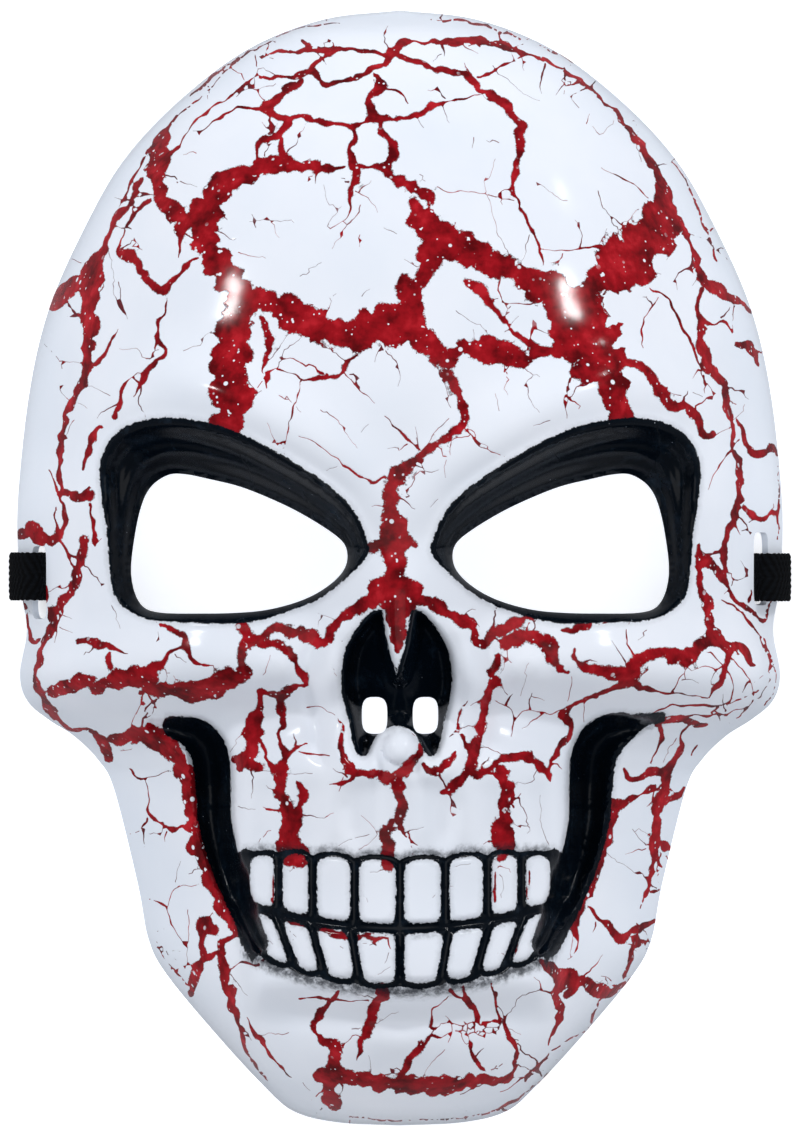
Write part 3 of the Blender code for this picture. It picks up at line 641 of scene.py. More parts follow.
CROWN_CRACKS = charted([
    [(-28.2, 118.7, 0.6), (-32.8, 117.1, 0.6), (-35.5, 115.3, 1.0), (-39.6, 112.1, 0.6),
     (-44.1, 106.9, 0.6), (-48.6, 103.5, 0.8), (-52.0, 99.4, 1.2), (-53.6, 96.7, 2.9),
     (-54.2, 92.2, 5.0), (-54.7, 87.7, 4.2), (-54.2, 83.2, 3.7), (-52.0, 81.4, 5.0),
     (-49.3, 78.6, 4.2), (-45.9, 78.2, 3.7)],
    [(-56.5, 82.5, 2.1), (-58.8, 80.9, 1.5), (-61.0, 77.5, 0.8), (-62.8, 73.5, 0.8),
     (-63.7, 71.2, 1.2), (-61.5, 70.3, 2.7), (-59.4, 68.7, 2.5), (-58.1, 66.2, 2.5),
     (-56.0, 64.0, 2.5), (-53.3, 62.4, 2.1), (-51.3, 64.2, 1.7), (-49.3, 66.2, 1.5),
     (-47.9, 68.5, 1.2), (-45.4, 69.4, 0.8)],
    [(-32.8, 110.3, 1.0), (-36.2, 107.4, 0.8), (-39.6, 105.1, 0.8), (-44.1, 102.4, 0.8),
     (-47.5, 98.5, 0.6), (-50.2, 94.9, 1.0), (-52.0, 92.7, 1.2)],
    [(-31.2, 103.1, 1.2), (-36.2, 103.5, 1.0), (-39.6, 101.9, 1.0), (-42.9, 99.7, 0.6),
     (-45.2, 97.4, 0.4)],
    [(-31.2, 114.8, 0.8), (-28.2, 116.2, 1.0), (-24.9, 116.4, 1.0), (-20.3, 116.4, 1.2),
     (-15.8, 116.6, 1.5), (-12.4, 116.6, 1.0), (-6.8, 115.9, 1.0), (-3.4, 115.5, 1.5),
     (-1.4, 116.8, 2.3), (0.7, 118.2, 1.9), (3.4, 118.4, 1.0), (9.0, 118.2, 1.5),
     (12.4, 118.9, 2.3), (16.9, 118.9, 2.5), (21.5, 118.0, 2.1), (26.0, 116.6, 1.5),
     (29.4, 115.7, 1.2), (32.8, 114.4, 1.0), (36.2, 112.5, 1.0), (40.7, 109.8, 1.2),
     (45.2, 106.2, 1.0), (49.0, 102.4, 1.2), (52.0, 97.9, 1.7), (55.4, 93.3, 1.7),
     (57.9, 88.6, 2.1), (59.4, 83.6, 3.3)],
    [(-22.1, 118.9, 1.0), (-20.6, 117.1, 1.7)],
    [(-19.9, 112.1, 1.7), (-17.6, 114.1, 1.2), (-15.6, 115.9, 1.7)],
    [(-31.2, 110.3, 1.0), (-27.1, 110.5, 1.0), (-22.6, 110.7, 1.2), (-19.9, 111.9, 1.7),
     (-18.5, 110.1, 1.5), (-16.9, 108.5, 1.2), (-13.6, 109.4, 1.2), (-10.2, 109.8, 1.5),
     (-8.4, 110.7, 1.7), (-6.3, 112.3, 1.5), (-3.4, 113.7, 1.7), (-0.7, 115.9, 1.9)],
    [(-22.1, 109.6, 1.9), (-25.3, 107.4, 2.1), (-28.5, 105.1, 2.1), (-30.7, 103.1, 2.1),
     (-27.1, 101.2, 1.7), (-25.1, 99.7, 1.9), (-27.3, 97.4, 1.7), (-30.1, 96.0, 1.5),
     (-32.1, 94.7, 1.0), (-32.3, 92.7, 0.8), (-31.9, 90.4, 1.2)],
    [(0.0, 114.8, 1.5), (3.4, 114.1, 1.2), (6.8, 112.5, 1.7), (11.3, 111.6, 1.5),
     (14.7, 111.0, 1.9), (17.2, 108.9, 2.3), (18.1, 106.9, 1.9), (21.5, 105.8, 1.9),
     (23.7, 103.1, 2.1), (26.4, 100.8, 2.1), (27.6, 98.5, 1.9), (26.2, 96.3, 2.1),
     (27.1, 93.3, 1.9), (26.0, 90.4, 1.7), (25.3, 87.2, 1.5), (25.5, 84.3, 1.0), (27.1, 80.9, 1.0),
     (29.4, 75.9, 0.8), (31.0, 71.9, 0.8), (32.1, 68.0, 0.6)],
    [(17.4, 110.3, 0.8), (19.9, 111.0, 1.0), (22.1, 112.5, 1.0), (24.4, 113.7, 0.6),
     (26.7, 114.8, 0.6)],
    [(-5.4, 110.7, 1.0), (-4.5, 108.5, 2.3), (-6.3, 106.2, 1.2), (-6.8, 104.4, 1.7),
     (-5.9, 102.4, 1.9), (-4.5, 100.6, 1.7), (-4.3, 98.5, 1.7), (-3.4, 97.4, 1.7),
     (-1.6, 94.7, 1.9), (-1.1, 92.9, 2.1), (-2.9, 89.9, 2.5), (-1.8, 87.5, 2.5), (0.5, 85.9, 2.7),
     (3.6, 85.0, 2.9), (6.3, 83.8, 2.5), (6.8, 81.8, 2.1)],
    [(-3.2, 107.6, 0.8), (-0.5, 106.7, 0.6), (1.8, 104.2, 0.4)],
    [(-24.4, 100.6, 1.2), (-22.1, 101.2, 1.2), (-19.0, 100.1, 1.5), (-15.4, 99.7, 1.5),
     (-11.3, 99.2, 1.7), (-7.9, 99.7, 1.2), (-5.0, 100.8, 1.7), (-1.8, 100.6, 1.5),
     (2.3, 101.2, 1.2), (5.7, 101.9, 1.5), (7.5, 103.7, 1.5), (10.2, 104.6, 0.8),
     (13.6, 105.3, 0.6), (17.4, 106.2, 0.6)],
    [(-11.3, 99.0, 1.5), (-9.7, 96.7, 1.5), (-11.3, 94.5, 1.5), (-10.6, 91.1, 1.9),
     (-9.3, 88.4, 2.1), (-10.8, 86.3, 1.7), (-11.3, 83.2, 1.2), (-10.8, 80.5, 0.8),
     (-12.0, 78.2, 0.4), (-15.6, 75.9, 0.3)],
    [(-9.9, 89.9, 1.2), (-6.8, 89.9, 1.2), (-3.6, 89.9, 2.1)],
    [(-26.9, 96.7, 1.0), (-26.4, 94.0, 1.5), (-26.0, 91.5, 2.1)],
    [(8.4, 85.4, 0.4), (10.6, 84.1, 0.6), (14.7, 84.1, 0.4), (19.2, 83.6, 0.4), (25.5, 82.3, 0.3)],
    [(-29.8, 119.6, 0.6), (-24.9, 121.1, 0.6), (-20.3, 122.3, 0.6), (-13.6, 122.9, 0.4)],
    [(6.8, 123.8, 0.6), (12.4, 123.8, 0.8), (16.9, 122.9, 1.0), (22.6, 121.4, 0.8),
     (27.1, 119.3, 0.6)],
    [(31.6, 118.0, 0.6), (36.2, 115.9, 0.8), (41.8, 113.0, 1.0), (46.3, 109.8, 0.8),
     (50.2, 106.2, 0.6)],
    [(-36.2, 115.3, 0.6), (-40.2, 112.5, 0.8), (-44.1, 109.4, 0.8), (-47.5, 106.2, 0.6)],
    [(-56.5, 94.5, 0.6), (-58.8, 90.4, 0.8), (-60.8, 86.3, 0.8), (-62.8, 82.0, 0.6)],
    [(65.5, 85.4, 0.6), (67.8, 79.8, 0.8), (69.6, 74.1, 0.8), (71.4, 69.2, 0.6)],
    [(61.5, 92.2, 0.6), (64.2, 87.7, 0.6), (66.9, 82.7, 0.6)],
])

FOREHEAD_CRACKS = charted([
    [(-12.4, 89.9, 0.7), (-14.7, 89.7, 1.4), (-16.9, 89.5, 2.1), (-19.7, 90.4, 2.6),
     (-22.6, 89.9, 3.1), (-26.0, 90.9, 3.8), (-31.2, 89.9, 4.5), (-35.0, 88.4, 4.7),
     (-38.9, 86.8, 4.9), (-42.0, 83.4, 5.2), (-43.6, 79.8, 6.1), (-44.1, 75.3, 6.1),
     (-42.3, 70.7, 6.6), (-39.6, 66.9, 7.5), (-36.2, 62.8, 6.6), (-33.9, 59.9, 6.1),
     (-29.4, 59.2, 5.2), (-24.9, 57.4, 6.1), (-20.3, 54.9, 6.1), (-15.8, 53.6, 5.6),
     (-12.2, 52.2, 6.1), (-7.9, 52.7, 8.0), (-3.4, 53.6, 9.4), (0.5, 55.1, 8.0), (3.6, 52.2, 5.6),
     (7.0, 49.0, 5.2), (9.7, 46.6, 4.7)],
    [(-34.6, 59.7, 6.6), (-36.2, 55.6, 7.1), (-37.7, 50.4, 8.5), (-38.2, 44.7, 8.0),
     (-37.7, 39.1, 8.5), (-37.7, 33.9, 7.3), (-38.6, 30.7, 5.2)],
    [(-49.0, 76.4, 3.1), (-49.5, 73.0, 1.2), (-49.7, 69.6, 0.3)],
    [(2.9, 82.0, 2.8), (4.1, 79.1, 5.6), (6.3, 75.9, 6.6), (9.7, 73.5, 7.5), (13.1, 72.3, 7.5),
     (16.3, 70.3, 6.6), (19.2, 68.5, 6.1), (23.1, 67.6, 4.2), (27.3, 65.5, 5.2), (31.9, 63.1, 7.5),
     (35.7, 60.1, 9.9), (38.9, 56.5, 12.2), (41.8, 52.4, 13.6), (44.1, 48.1, 12.7),
     (45.9, 43.8, 9.9), (47.7, 40.2, 7.1), (48.6, 36.8, 6.1), (49.7, 33.0, 5.2)],
    [(7.5, 71.9, 6.1), (6.3, 68.5, 5.2), (5.4, 64.9, 4.7), (2.9, 62.1, 4.2), (2.5, 59.0, 4.7),
     (2.7, 55.6, 5.2)],
    [(1.1, 64.2, 3.3), (0.5, 61.5, 2.4)],
    [(10.2, 46.1, 4.7), (12.7, 48.6, 2.8), (16.3, 49.3, 4.2), (20.3, 48.4, 5.6), (24.4, 47.9, 5.2),
     (28.0, 46.3, 3.3), (30.3, 47.7, 2.4), (33.0, 48.6, 2.8), (36.2, 48.8, 4.7), (39.3, 49.3, 6.6)],
    [(14.9, 64.0, 2.1), (17.6, 62.4, 2.4), (19.7, 59.7, 2.4), (21.7, 57.0, 1.4), (24.0, 54.5, 0.9),
     (25.3, 52.4, 1.2), (27.3, 51.3, 1.4), (29.6, 49.9, 1.9), (32.3, 48.8, 2.1), (35.3, 47.9, 2.4)],
    [(10.4, 43.4, 3.1), (12.0, 41.6, 2.1), (13.3, 38.4, 2.1), (14.2, 35.3, 2.6), (14.0, 32.5, 2.4),
     (11.3, 29.4, 2.1), (7.9, 27.1, 2.1), (4.5, 24.6, 2.4), (1.1, 21.9, 3.1), (-1.1, 19.7, 3.8),
     (-2.3, 17.2, 4.0), (-2.0, 14.2, 4.0), (-1.8, 10.8, 4.5), (-1.6, 7.2, 5.2), (-1.1, 4.5, 5.2),
     (-1.4, 0.7, 4.2), (-1.6, -2.7, 4.7), (-1.1, -5.4, 7.1), (-0.5, -8.8, 5.9), (-0.5, -12.2, 4.7),
     (-0.5, -16.3, 2.8), (-0.7, -18.5, 1.4)],
    [(4.5, 26.2, 0.9), (1.1, 29.4, 0.7), (-1.8, 32.5, 0.5), (-3.4, 33.9, 0.3)],
    [(14.7, 30.7, 0.5), (18.1, 27.3, 0.5), (23.3, 24.9, 0.3)],
    [(-6.8, 4.5, 2.4), (-3.8, 5.7, 2.8), (-0.9, 6.1, 2.8), (1.4, 6.3, 2.1), (3.4, 5.0, 1.9)],
    [(-9.7, 47.5, 0.7), (-12.0, 45.7, 1.2), (-13.3, 43.6, 1.2), (-15.8, 42.7, 0.9),
     (-18.5, 42.5, 1.2), (-21.5, 42.0, 0.7), (-24.9, 43.6, 0.5), (-28.2, 44.7, 0.7),
     (-29.8, 42.0, 1.2), (-29.8, 40.2, 0.5)],
    [(-31.0, 56.0, 1.2), (-29.4, 52.7, 2.1), (-29.4, 49.3, 1.9), (-30.1, 46.8, 1.4),
     (-30.7, 43.6, 0.5)],
    [(-12.4, 43.6, 0.5), (-9.0, 39.8, 0.5), (-5.7, 36.8, 0.3)],
    [(-22.4, 41.4, 0.3), (-23.1, 38.0, 0.5), (-24.4, 33.4, 0.5), (-25.3, 29.6, 0.5),
     (-26.0, 26.2, 0.3)],
    [(-22.6, 29.4, 0.3), (-18.5, 27.6, 0.5), (-15.4, 25.5, 0.5), (-11.3, 22.1, 0.7),
     (-8.6, 20.1, 0.7), (-5.7, 19.4, 0.9), (-3.6, 20.3, 0.9)],
    [(38.4, 44.3, 0.5), (37.5, 40.2, 0.5), (36.8, 37.5, 0.5), (37.3, 33.4, 0.5)],
    [(45.2, 89.9, 0.3), (49.7, 87.5, 0.5), (53.1, 85.9, 0.5), (55.8, 83.2, 0.5)],
    [(31.6, 71.4, 0.3), (37.3, 71.0, 0.5), (41.8, 71.9, 0.7), (45.2, 72.1, 1.2)],
])

RIGHT_TEMPLE_CRACKS = charted([
    [(59.4, 83.6, 4.1), (58.3, 80.0, 7.7), (56.7, 75.3, 9.9), (54.2, 71.9, 11.3),
     (50.9, 69.2, 11.8), (47.0, 66.4, 9.9), (43.4, 63.5, 6.8), (41.4, 61.0, 4.5)],
    [(63.3, 78.2, 1.4), (65.1, 74.1, 1.4), (66.2, 70.7, 1.6), (67.3, 67.3, 1.8), (68.5, 64.0, 2.7),
     (71.4, 62.1, 3.4), (74.6, 61.0, 2.9), (77.3, 59.9, 2.0), (79.3, 57.6, 1.1)],
    [(68.0, 62.8, 1.1), (67.1, 58.8, 1.1), (67.8, 55.6, 1.8), (67.3, 52.4, 2.5), (67.8, 49.3, 2.5),
     (69.4, 45.7, 2.5), (71.6, 42.3, 2.5), (73.2, 38.9, 2.0), (74.1, 35.3, 1.8), (74.8, 31.2, 1.4),
     (74.8, 27.1, 1.1), (75.9, 23.7, 1.8), (76.4, 19.9, 1.8), (75.7, 15.4, 2.0), (75.5, 11.8, 1.8),
     (74.1, 8.4, 1.8), (72.8, 5.0, 1.6), (72.5, 1.8, 1.6), (73.9, -4.5, 1.1), (75.7, -7.7, 1.1),
     (78.0, -9.0, 1.6), (80.9, -11.1, 1.1), (82.7, -11.5, 1.1), (83.4, -9.0, 0.9),
     (83.8, -7.2, 0.7)],
    [(68.3, 55.6, 1.1), (70.7, 54.9, 0.9), (73.0, 55.6, 0.9), (74.8, 52.9, 0.7)],
    [(75.9, 50.4, 1.4), (78.6, 50.4, 2.0), (80.2, 47.9, 1.6), (80.9, 45.7, 0.9)],
    [(75.9, 33.2, 0.9), (77.3, 30.7, 1.1), (78.6, 27.6, 1.8), (80.0, 25.5, 2.3), (82.0, 26.2, 2.0),
     (84.1, 26.2, 1.6), (85.2, 25.3, 0.7), (85.4, 19.9, 0.5), (85.4, 12.7, 0.7), (85.2, 5.2, 0.7)],
    [(77.3, 13.6, 1.1), (79.1, 12.0, 1.6), (81.4, 11.1, 1.1), (83.6, 12.0, 1.1), (85.0, 12.4, 0.9)],
    [(49.7, 46.6, 3.6), (52.9, 45.4, 2.0), (55.4, 43.8, 2.0), (57.0, 40.7, 2.3), (59.2, 38.2, 2.5),
     (61.7, 35.9, 2.5), (64.0, 36.4, 1.6), (65.8, 35.0, 1.8), (67.3, 32.1, 1.8), (68.7, 29.8, 2.3),
     (70.3, 30.3, 1.6)],
    [(56.0, 62.8, 0.5), (59.9, 60.6, 0.9), (62.1, 57.2, 0.9), (63.3, 53.8, 0.9), (65.1, 50.4, 0.7),
     (67.1, 46.6, 0.9), (68.5, 42.5, 0.5), (70.1, 39.8, 0.5)],
    [(57.9, 60.6, 0.5), (54.9, 56.5, 0.7), (54.2, 52.7, 0.7), (54.5, 49.3, 0.5)],
    [(67.1, 5.2, 1.1), (67.1, 1.8, 1.8), (67.3, -1.8, 1.6), (67.6, -5.2, 2.0), (68.9, -8.6, 2.3),
     (69.6, -11.8, 2.3), (70.7, -14.9, 2.5)],
    [(68.3, 1.4, 2.7), (71.0, -0.5, 2.3), (72.8, -2.7, 1.6)],
    [(78.6, -7.2, 0.9), (79.1, -5.0, 0.7)],
    [(76.4, 28.9, 0.5), (72.8, 24.4, 0.7), (71.0, 22.1, 0.5), (69.2, 17.6, 0.3)],
])

LEFT_TEMPLE_CRACKS = charted([
    [(-58.1, 87.7, 1.4), (-59.2, 85.4, 1.4), (-60.6, 82.0, 1.4), (-63.3, 79.8, 1.6),
     (-65.1, 76.8, 1.4), (-66.4, 73.0, 1.8), (-68.0, 70.1, 3.2), (-69.6, 66.9, 5.4),
     (-69.8, 63.3, 4.1), (-69.8, 59.4, 3.8), (-70.1, 55.6, 4.1), (-70.1, 50.4, 3.2),
     (-70.7, 47.0, 3.4), (-70.5, 44.1, 3.2), (-72.5, 40.7, 2.3), (-73.7, 37.7, 1.8),
     (-75.3, 33.4, 1.8), (-76.2, 28.9, 1.6), (-76.6, 23.3, 1.4), (-76.4, 18.8, 1.6),
     (-76.2, 15.4, 1.1), (-75.3, 12.7, 1.1), (-75.3, 10.4, 1.6), (-76.4, 7.9, 2.0),
     (-78.2, 6.1, 2.9), (-80.5, 6.8, 3.2), (-82.9, 8.4, 3.6), (-85.7, 7.5, 3.4)],
    [(-69.6, 65.1, 3.2), (-72.3, 64.2, 3.2), (-75.5, 62.1, 3.6), (-78.2, 59.4, 2.7)],
    [(-68.5, 45.7, 1.1), (-66.7, 47.5, 1.1), (-65.1, 50.4, 1.1), (-63.3, 53.6, 0.5)],
    [(-52.2, 59.9, 0.7), (-53.1, 57.2, 0.9), (-54.0, 54.7, 1.1), (-54.0, 51.5, 1.4),
     (-52.7, 49.3, 1.1), (-53.6, 47.0, 1.1), (-55.4, 45.4, 1.6), (-57.0, 42.9, 1.6),
     (-58.3, 40.7, 0.9), (-59.7, 38.4, 0.3)],
    [(-54.7, 50.4, 0.7), (-55.4, 48.1, 0.9)],
    [(-58.1, 43.6, 0.3), (-61.0, 42.0, 0.5), (-62.4, 40.2, 1.1), (-63.3, 36.8, 1.4),
     (-64.0, 33.9, 1.4)],
    [(-66.9, 31.6, 1.1), (-69.2, 29.4, 1.6), (-70.5, 25.8, 1.8), (-71.2, 22.1, 1.4)],
    [(-76.8, 16.7, 0.9), (-74.6, 16.5, 1.6), (-72.3, 15.6, 2.3), (-69.8, 16.3, 3.2)],
    [(-69.6, 14.2, 1.4), (-69.4, 11.3, 1.1), (-68.9, 7.9, 1.4), (-68.5, 5.0, 1.1)],
    [(-71.0, 6.3, 2.0), (-71.6, 2.9, 2.3), (-72.3, -0.5, 2.5), (-72.8, -2.9, 2.3),
     (-74.1, -5.0, 2.0), (-75.7, -7.5, 2.3), (-77.3, -10.2, 2.0), (-78.6, -13.1, 2.0),
     (-80.0, -16.3, 1.8), (-81.4, -19.7, 1.6), (-82.0, -23.1, 1.6), (-81.8, -26.4, 1.8),
     (-80.2, -29.4, 2.3), (-78.4, -32.5, 2.0), (-76.4, -35.0, 1.6), (-73.2, -36.4, 1.1),
     (-70.1, -36.8, 1.1), (-67.6, -38.4, 2.0), (-66.7, -40.7, 3.4), (-65.8, -42.9, 2.3)],
    [(-77.5, 13.6, 0.5), (-77.3, 10.8, 0.7), (-77.1, 8.6, 1.1)],
    [(-79.1, 22.1, 0.5), (-77.5, 18.8, 0.7), (-76.4, 16.0, 0.7)],
    [(-80.7, 0.5, 0.5), (-80.2, -3.8, 0.9), (-79.6, -8.4, 0.9), (-78.9, -11.5, 1.1)],
    [(-85.4, -6.3, 0.7), (-84.5, -9.9, 0.7), (-83.6, -14.0, 0.9), (-82.7, -16.3, 1.4),
     (-81.1, -16.0, 0.9)],
    [(-76.4, 5.9, 0.9), (-74.6, 2.9, 0.9), (-73.5, 0.5, 0.7)],
])

LEFT_CHEEK_CRACKS = charted([
    [(-72.3, -16.5, 1.5), (-69.4, -16.7, 2.0), (-66.0, -17.4, 2.2), (-63.7, -18.3, 1.2),
     (-61.0, -19.2, 0.5)],
    [(-65.1, -19.0, 1.2), (-64.9, -22.1, 2.4)],
    [(-78.2, -27.8, 3.4), (-74.6, -26.4, 4.1), (-71.4, -25.8, 4.1), (-69.4, -25.1, 2.4)],
    [(-68.3, -27.3, 2.0), (-65.1, -25.3, 3.7), (-61.0, -24.6, 4.1), (-57.4, -23.7, 4.4),
     (-54.7, -21.9, 2.2), (-52.4, -20.3, 1.5), (-50.6, -18.5, 1.0), (-47.9, -17.4, 0.7)],
    [(-57.2, -26.7, 2.4), (-54.2, -27.6, 3.4), (-49.7, -27.3, 4.4), (-45.2, -27.6, 4.6),
     (-40.7, -26.0, 4.6), (-36.6, -24.4, 4.9), (-34.4, -23.5, 3.4)],
    [(-53.6, -12.7, 1.0), (-50.2, -14.0, 1.7), (-47.9, -15.8, 1.7), (-47.5, -18.5, 1.2),
     (-46.1, -21.2, 1.0), (-43.8, -21.2, 0.7), (-41.6, -22.4, 0.5)],
    [(-35.5, -12.7, 2.0), (-34.1, -15.6, 3.4), (-35.3, -19.0, 2.2), (-35.3, -22.6, 2.4)],
    [(-58.1, -28.0, 1.2), (-57.6, -30.5, 1.0)],
    [(-65.1, -38.4, 2.9), (-61.0, -37.3, 4.4), (-57.0, -38.0, 5.4), (-53.3, -38.9, 5.4),
     (-50.6, -41.1, 4.6), (-48.8, -44.3, 4.4), (-47.7, -47.9, 4.1), (-47.0, -52.0, 3.9),
     (-46.3, -55.8, 3.9), (-45.4, -59.7, 4.4), (-44.1, -63.7, 4.6), (-42.7, -68.3, 4.4),
     (-41.1, -72.8, 4.1), (-39.3, -76.4, 3.9), (-37.5, -79.8, 3.4), (-35.9, -82.3, 2.2)],
    [(-31.6, -27.6, 1.2), (-31.4, -30.7, 1.5), (-32.8, -34.1, 3.7), (-33.7, -37.1, 3.9),
     (-33.2, -40.5, 2.9), (-35.3, -43.4, 3.2), (-31.6, -44.5, 2.2)],
    [(-37.1, -42.9, 2.0), (-35.9, -45.0, 2.4)],
    [(-61.0, -45.2, 0.7), (-58.8, -47.5, 0.7), (-56.0, -47.0, 0.5), (-52.4, -45.7, 0.3)],
    [(-57.4, -47.9, 0.5), (-56.5, -51.3, 0.5), (-57.0, -53.6, 0.7), (-56.7, -56.0, 1.0),
     (-54.2, -57.2, 1.0), (-51.5, -58.8, 1.5), (-49.0, -58.1, 1.0), (-47.5, -59.0, 1.5)],
    [(-57.0, -56.5, 0.7), (-58.8, -59.2, 0.5), (-61.0, -60.1, 0.3)],
])

NOSE_CRACKS = charted([
    [(-3.6, -5.0, 5.6), (-6.1, -6.8, 3.9), (-9.0, -8.6, 2.4), (-11.3, -10.4, 2.6),
     (-14.0, -12.2, 2.1), (-15.8, -14.7, 2.1), (-16.9, -16.9, 3.0), (-19.9, -15.6, 3.2),
     (-22.6, -14.5, 2.8), (-26.0, -13.6, 2.4), (-28.9, -13.8, 1.9), (-31.2, -15.4, 2.6),
     (-33.4, -16.3, 3.2)],
    [(0.9, -5.0, 5.6), (4.1, -6.1, 4.5), (6.8, -7.5, 3.6), (9.5, -9.0, 3.2), (12.4, -10.8, 3.0),
     (14.7, -12.4, 2.6), (16.5, -14.9, 2.1), (17.9, -17.2, 1.9), (20.3, -14.7, 2.4),
     (23.1, -13.3, 2.6), (26.2, -12.2, 2.4), (29.4, -11.1, 1.7)],
    [(-31.2, -17.4, 1.5), (-27.1, -17.4, 1.9), (-24.9, -19.0, 2.1), (-23.1, -21.7, 1.7),
     (-21.9, -24.2, 1.9), (-21.0, -26.2, 1.1), (-23.1, -26.4, 1.5), (-26.0, -27.6, 2.4),
     (-26.4, -30.3, 2.6), (-26.2, -33.2, 1.9), (-26.0, -35.3, 1.1), (-27.3, -37.1, 0.9),
     (-26.9, -39.3, 1.3), (-25.8, -42.3, 1.6), (-26.4, -44.7, 2.9), (-26.9, -47.7, 3.1),
     (-26.7, -50.6, 2.6), (-25.1, -53.1, 2.9), (-24.4, -56.0, 4.4), (-25.3, -59.4, 5.5),
     (-24.6, -62.6, 5.5), (-22.4, -64.9, 3.9)],
    [(-23.1, -47.9, 1.3), (-21.9, -50.6, 2.1), (-22.8, -54.2, 2.1), (-22.6, -58.1, 1.0)],
    [(-31.2, -27.6, 1.5), (-28.2, -28.2, 1.3)],
    [(-31.2, -38.9, 1.1), (-29.8, -40.7, 1.6), (-29.8, -42.9, 1.0), (-28.2, -45.2, 1.6)],
    [(-25.3, -42.0, 1.3), (-23.1, -40.2, 1.0), (-20.8, -39.3, 0.5)],
    [(-22.6, -41.1, 0.5), (-19.2, -41.6, 0.8), (-15.8, -42.0, 0.5)],
    [(-20.8, -31.2, 0.6), (-18.1, -31.2, 0.4), (-14.7, -33.0, 0.4), (-13.1, -34.8, 0.9),
     (-13.1, -38.0, 1.3), (-12.7, -41.4, 1.8), (-11.8, -44.5, 2.3), (-9.0, -46.3, 2.1),
     (-5.7, -46.1, 2.1), (-2.7, -46.6, 2.3), (0.2, -45.7, 2.9), (2.7, -43.8, 2.3),
     (4.5, -41.1, 1.6), (4.1, -38.4, 0.6), (2.3, -36.6, 0.4)],
    [(5.2, -43.8, 1.0), (6.8, -45.7, 1.6), (9.0, -44.3, 1.8), (11.3, -42.7, 1.8),
     (12.4, -41.1, 1.0)],
    [(-0.2, -47.0, 2.6), (-0.5, -50.2, 2.6), (0.5, -53.6, 2.6), (0.0, -56.5, 2.3),
     (0.7, -58.8, 1.3)],
    [(-1.6, -56.5, 1.3), (-2.9, -59.2, 2.9), (-2.9, -62.6, 3.1), (-2.7, -66.2, 3.1)],
    [(15.1, -29.8, 0.4), (13.6, -31.9, 0.9), (12.7, -34.6, 1.1), (13.3, -36.8, 0.9),
     (14.7, -39.6, 1.6), (15.8, -42.5, 2.1), (15.4, -45.2, 1.6), (13.6, -47.0, 1.3)],
    [(21.9, -19.7, 1.7), (21.0, -22.8, 1.9), (20.1, -26.4, 2.4), (19.2, -29.8, 1.9),
     (18.8, -33.2, 2.1), (17.6, -36.6, 2.1), (16.9, -40.0, 2.3), (16.3, -43.4, 2.3),
     (14.7, -46.1, 2.1), (12.0, -48.6, 2.1), (9.3, -50.2, 1.0)],
    [(16.9, -46.3, 1.6), (19.7, -45.2, 1.6), (21.7, -43.6, 1.6), (24.0, -42.5, 2.3),
     (27.1, -42.3, 2.3), (29.8, -43.4, 2.6), (31.9, -45.4, 2.1), (33.4, -47.0, 1.3)],
    [(22.6, -45.4, 2.6), (23.7, -49.0, 3.4), (23.7, -52.4, 2.9), (23.3, -55.8, 3.6),
     (23.1, -59.2, 3.9), (23.3, -62.6, 4.4), (22.4, -65.1, 2.3)],
    [(24.6, -49.7, 1.3), (25.5, -53.6, 0.8)],
    [(21.5, -29.8, 0.4), (24.9, -31.6, 0.4), (25.3, -34.4, 0.6), (24.9, -37.7, 0.4)],
    [(25.3, -34.4, 0.4), (27.1, -32.1, 0.4), (30.5, -31.9, 0.4), (33.4, -33.0, 0.4),
     (36.6, -31.6, 0.4)],
    [(1.8, -59.2, 0.5), (2.7, -62.6, 0.5), (3.4, -64.9, 0.3)],
    [(-15.8, -48.4, 0.3), (-13.1, -48.1, 1.0), (-10.6, -47.0, 1.0)],
])

